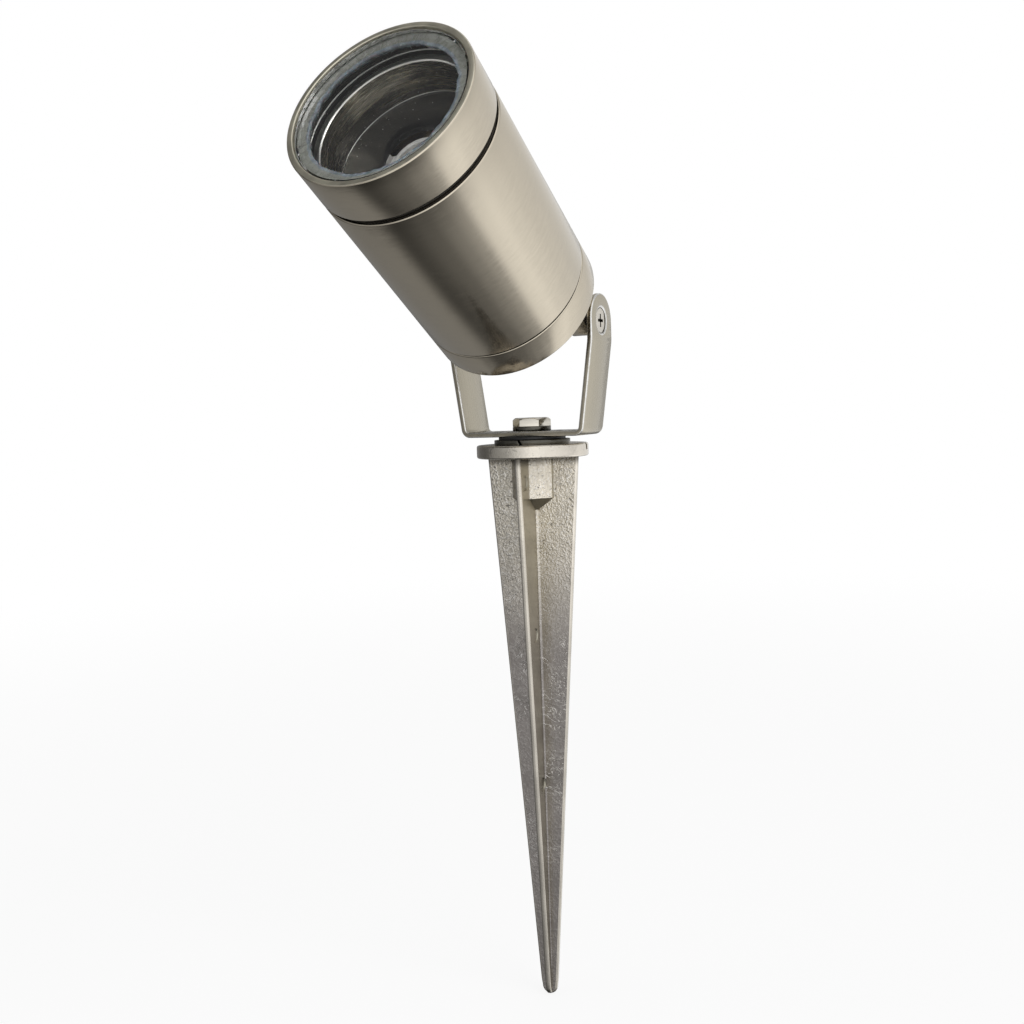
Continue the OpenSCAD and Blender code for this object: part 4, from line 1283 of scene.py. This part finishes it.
    def boss_block(self) -> bpy.types.Object:
        """Makes the boss at 45 degrees to the fins, a square with round corners and a point below.

        Returns:
            The solid.
        """
        mesh = bmesh.new()
        bmesh.ops.create_grid(mesh, x_segments=1, y_segments=1, size=self.boss / 2 * MM)
        Maker.round_off(mesh, mesh.verts[:], self.boss_corner, 8, "VERTICES")
        bmesh.ops.translate(mesh, verts=mesh.verts, vec=(0, 0, self.sunk * MM))
        Maker.push_out(mesh, mesh.faces[:], (0, 0, -(self.boss_h + self.sunk)))
        foot = [f for f in mesh.faces if all(v.co.z < 0 for v in f.verts)]
        point = bmesh.ops.poke(mesh, faces=foot)["verts"]
        bmesh.ops.translate(mesh, verts=point, vec=(0, 0, -self.boss_point * MM))
        bmesh.ops.recalc_face_normals(mesh, faces=mesh.faces)
        edges = [e for e in mesh.edges if all(abs(v.co.z + self.boss_h * MM) < 1e-6 for v in e.verts)]
        Maker.round_off(mesh, edges, self.boss_round, 3)
        for face in mesh.faces:
            # Foot and corners towards the wide fins take the smooth draft finish, whose darker colour paints
            # shade on them
            face.material_index = int(face.normal.z < -0.3 or face.normal.x * face.normal.y < -0.2)
        bmesh.ops.rotate(mesh, verts=mesh.verts, cent=(0, 0, 0),
                         matrix=Matrix.Rotation(self.turn + math.pi / 4, 3, "Z"))
        return self.cast_slots(Maker.object_from("boss_block", mesh))

    def marks(self) -> list[bpy.types.Object]:
        """Makes the cutters of the flange's nick and of the ejector marks on the front and back fins.

        Returns:
            The cutters.
        """
        cutters = []
        for side in (0.0, math.pi):
            for down, out in self.mark_shares:
                half = (self.fin_top + (self.fin_low - self.fin_top) * down) / 2
                mesh = bmesh.new()
                bmesh.ops.create_cone(mesh, cap_ends=True, segments=48,
                                      radius1=(self.mark_r - self.mark_slope) * MM,
                                      radius2=(self.mark_r + self.mark_slope) * MM,
                                      depth=2 * self.mark_dent * MM)
                bmesh.ops.rotate(mesh, verts=mesh.verts, cent=(0, 0, 0),
                                 matrix=Matrix.Rotation(math.pi / 2, 3, "Y"))
                bmesh.ops.translate(mesh, verts=mesh.verts,
                                    vec=Vector((self.fin_t / 2, -half * out, -self.blade * down)) * MM)
                bmesh.ops.rotate(mesh, verts=mesh.verts, cent=(0, 0, 0),
                                 matrix=Matrix.Rotation(self.turn + side, 3, "Z"))
                cutters.append(self.cast_slots(Maker.object_from("ejector_mark", mesh), 1))
        nick = Maker.block("flange_nick", self.nick, self.nick_at, Matrix(), self.nick_lean)
        cutters.append(self.cast_slots(nick, 1))
        return cutters

    def casting(self) -> None:
        """Joins flange, fins, roots and boss, and cuts the tapped hole and the ejector marks."""
        piece = self.cast_slots(Maker.lathe("spike_casting", [
            (0, 0), (self.flange_r, 0), (self.flange_r, self.flange_t), (0, self.flange_t)],
            Matrix(), steps=128, edge=self.flange_round, on_axis=True, rounds=4), 2)
        fins = [self.fin_pair("wide_fins", self.turn, 0),
                self.fin_pair("deep_fins", self.turn + math.pi / 2, 1)]
        tap = self.cast_slots(Maker.rod("tapped_hole", self.tap_r, 2 * self.tap_depth, (0, 0, self.flange_t),
                                        Matrix()), 2)
        Maker.combine(piece, [*fins, self.root(), self.boss_block()], [tap, *self.marks()])
        Maker.dress(piece, "spike_base", "cast_metal", (CAST_SKIN, SHADED_CAST_DRAFT, CAST_RIM), ["spike"])

    def build(self) -> None:
        """Makes the casting and dresses the hardware."""
        self.casting()
        for node, finish, width in (("swivel_bolt", BOLT_STEEL, 0.2), ("spring_washer", WASHER_STEEL, 0.15),
                                    ("spring_ring", WASHER_STEEL, 0.2)):
            piece = Maker.softened(node, node + "_plated", width)
            Maker.dress(piece, "spike_base", "fastener_steel", (finish,), [node])


@dataclass
class Studio:
    """Floor, soft light and the camera at the photograph's place."""

    floor_z: float = -217.3
    floor_r: float = 4000.0
    floor_fade: tuple[float, float] = (0.3, 1.2)
    camera_at: tuple[float, float, float] = (183.1, -385.8, 19.6)
    azimuth: float = math.radians(26.327)
    elevation: float = math.radians(5.133)
    roll: float = math.radians(-2.0)
    lens: float = 38.75
    shift: tuple[float, float] = (-0.0044, -0.0064)
    soft_level: float = 0.62
    lens_level: float = 1.25
    room_fade: tuple[float, float] = (-0.9, -0.2)
    behind_from: tuple[float, float] = (-0.35, -0.55)
    corner_edge: tuple[float, float] = (0.93, 0.985)
    dark_corner: tuple[float, float, float] = (-0.44, -0.48, 0.757)
    # Name, place in metres, side in metres and power in watts
    lamps: tuple[tuple[str, tuple[float, float, float], float, float], ...] = (
        ("key", (0.9, -0.35, 0.9), 0.8, 6.0), ("fill", (-0.9, -0.8, 0.5), 1.0, 2.0))
    lamp_aim: tuple[float, float, float] = (0.0, -0.04, 0.02)
    # Levels by bearing from the front, a full turn from back to back by way of left, front and right
    room_levels: tuple[tuple[float, float], ...] = (
        (0.0, 0.75), (0.1, 0.5), (0.18, 0.15), (0.27, 0.12), (0.34, 0.3), (0.427, 0.42), (0.46, 0.66),
        (0.52, 0.9), (0.573, 1.2), (0.65, 1.05), (0.76, 0.9), (0.88, 0.5), (0.95, 0.42), (1.0, 0.7))
    # Levels round the head's axis, from its left side by way of below, right and above
    head_levels: tuple[tuple[float, float], ...] = (
        (0.0, 0.23), (0.12, 0.26), (0.185, 0.07), (0.28, 0.15), (0.335, 0.28), (0.377, 0.42), (0.425, 1.0),
        (0.47, 1.08), (0.52, 0.95), (0.6, 0.82), (0.68, 0.75), (0.8, 0.8), (0.855, 0.2), (1.0, 0.23))

    @staticmethod
    def seen_directly(graph: Graph) -> bpy.types.NodeSocket:
        """Finds the rays that see the surround itself, straight or through clear glass alone.

        Args:
            graph: graph of the surround or the floor.

        Returns:
            1 for such rays and 0 for others.
        """
        path = graph.add("LightPath").outputs
        bounced = graph.total(path["Glossy Depth"], path["Diffuse Depth"])
        through = graph.product(path["Is Transmission Ray"], graph.math("LESS_THAN", bounced, 0.5))
        return graph.math("MINIMUM", 1.0, graph.total(path["Is Camera Ray"], through))

    def floor(self) -> None:
        """Lays a wide pale floor that keeps the shadow."""
        mesh = bmesh.new()
        bmesh.ops.create_circle(mesh, cap_ends=True, segments=96, radius=self.floor_r * MM)
        bmesh.ops.translate(mesh, verts=mesh.verts, vec=(0, 0, self.floor_z * MM))
        floor = Maker.object_from("pale_floor", mesh)
        made = bpy.data.materials.new("pale_floor")
        made.use_nodes = True
        graph = Graph(made.node_tree)
        made.node_tree.nodes.clear()
        seen = self.seen_directly(graph)
        reach = graph.vector("LENGTH", graph.place(), output=1)
        share = graph.smooth(reach, *self.floor_fade, 0.86, 1.0)
        matt = graph.add("BsdfDiffuse", {"Color": (0.85, 0.85, 0.85, 1)})
        white = graph.add("Emission", {"Color": (1, 1, 1, 1), "Strength": 1.0})
        mix = graph.add("MixShader", {0: graph.product(seen, share), 1: matt.outputs[0],
                                      2: white.outputs[0]})
        graph.add("OutputMaterial", {"Surface": mix.outputs[0]})
        floor.data.materials.append(made)
        floor.visible_glossy = False

    def world(self) -> None:
        """Sets a white backdrop, and the softly lit room that the metal reflects."""
        world = bpy.data.worlds.new("studio")
        bpy.context.scene.world = world
        world.use_nodes = True
        graph = Graph(world.node_tree)
        world.node_tree.nodes.clear()
        ray = graph.vector("NORMALIZE", graph.add("TexCoord").outputs["Generated"])
        parts = graph.add("SeparateXYZ", {0: ray}).outputs
        # The room at eye level, by bearing: back wall, dark left side, front wall, windows on the right
        bearing = self.turn_share(graph, parts["X"], graph.product(parts["Y"], -1.0))
        walls = graph.ramp(bearing, self.room_levels)
        room = graph.product(walls, graph.smooth(parts["Z"], *self.room_fade, 0.05, 1.0))
        # What the head's turned side reflects lies behind and below it
        round_head = self.turn_share(graph, graph.vector("DOT_PRODUCT", ray, HEAD_UP, output=1), parts["X"])
        under = graph.ramp(round_head, self.head_levels)
        behind = graph.smooth(graph.vector("DOT_PRODUCT", ray, HEAD_AXIS, output=1), *self.behind_from)
        level = graph.between(behind, room, under)
        # A dark corner of the ceiling, mirrored by the lens
        corner = graph.vector("DOT_PRODUCT", ray, Vector(self.dark_corner).normalized(), output=1)
        level = graph.product(level, graph.smooth(corner, *self.corner_edge, 1.0, 0.04))
        path = graph.add("LightPath").outputs
        matt = graph.math("MINIMUM", 1.0, path["Diffuse Depth"])
        # Light that has passed the lens stands for the lamps too, which glass would hide from matt pieces
        soft = graph.between(path["Is Transmission Ray"], self.soft_level, self.lens_level)
        strength = graph.between(self.seen_directly(graph), graph.between(matt, level, soft), 1.0)
        sky = graph.add("Background", {"Color": (1, 1, 1, 1), "Strength": strength})
        graph.add("OutputWorld", {"Surface": sky.outputs[0]})

    @staticmethod
    def turn_share(graph: Graph, sine: object, cosine: object) -> bpy.types.NodeSocket:
        """Turns a direction's two parts into its angle as a share of a full turn.

        Args:
            graph: the surround's graph.
            sine: part along the quarter-turn direction.
            cosine: part along the zero direction.

        Returns:
            The share, with half a turn at 0 and 1 and the zero direction at 0.5.
        """
        angle = graph.math("ARCTAN2", sine, cosine)
        return graph.math("MULTIPLY_ADD", angle, 1 / math.tau, 0.5)

    def lamp(self, name: str, at: tuple[float, float, float], size: float, power: float) -> None:
        """Hangs a soft square lamp that faces the head.

        Args:
            name: name of the lamp.
            at: its place in metres.
            size: its side in metres.
            power: its power in watts.
        """
        data = bpy.data.lights.new(name, "AREA")
        data.shape = "SQUARE"
        data.size = size
        data.energy = power
        lamp = bpy.data.objects.new(name, data)
        lamp.location = at
        aim = Vector(self.lamp_aim) - Vector(at)
        lamp.rotation_euler = aim.to_track_quat("-Z", "Y").to_euler()
        lamp.visible_glossy = False
        bpy.context.scene.collection.objects.link(lamp)

    def camera(self) -> None:
        """Places the camera where the photograph was taken."""
        a, e, r = self.azimuth, self.elevation, self.roll
        right = Vector((math.cos(a), math.sin(a), 0))
        back = Vector((math.sin(a) * math.cos(e), -math.cos(a) * math.cos(e), math.sin(e)))
        up = back.cross(right)
        turned_right = math.cos(r) * right + math.sin(r) * up
        turned_up = -math.sin(r) * right + math.cos(r) * up
        data = bpy.data.cameras.new("photo_camera")
        data.sensor_fit = "HORIZONTAL"
        data.sensor_width = 36.0
        data.lens = self.lens
        data.shift_x, data.shift_y = self.shift
        data.clip_start = 0.01
        camera = bpy.data.objects.new("photo_camera", data)
        turn = Matrix((turned_right, turned_up, back)).transposed().to_4x4()
        camera.matrix_world = Matrix.Translation(Vector(self.camera_at) * MM) @ turn
        bpy.context.scene.collection.objects.link(camera)
        bpy.context.scene.camera = camera

    def build(self) -> None:
        """Sets up the whole studio."""
        self.camera()
        self.floor()
        self.world()
        for name, at, size, power in self.lamps:
            self.lamp(name, at, size, power)
        bpy.context.scene.view_settings.view_transform = "Standard"
        LOG.info("studio: floor, surround, two lamps and the camera")


def main() -> None:
    """Builds the studio and every sub-assembly."""
    logging.basicConfig(level=logging.INFO, format="%(name)s: %(message)s")
    Studio().build()
    for part in (TiltHead(), LensUnit(), Wiring(), YokeArm(), SpikeBase()):
        LOG.info("building %s", type(part).__name__)
        part.build()


if __name__ == "__main__":
    main()
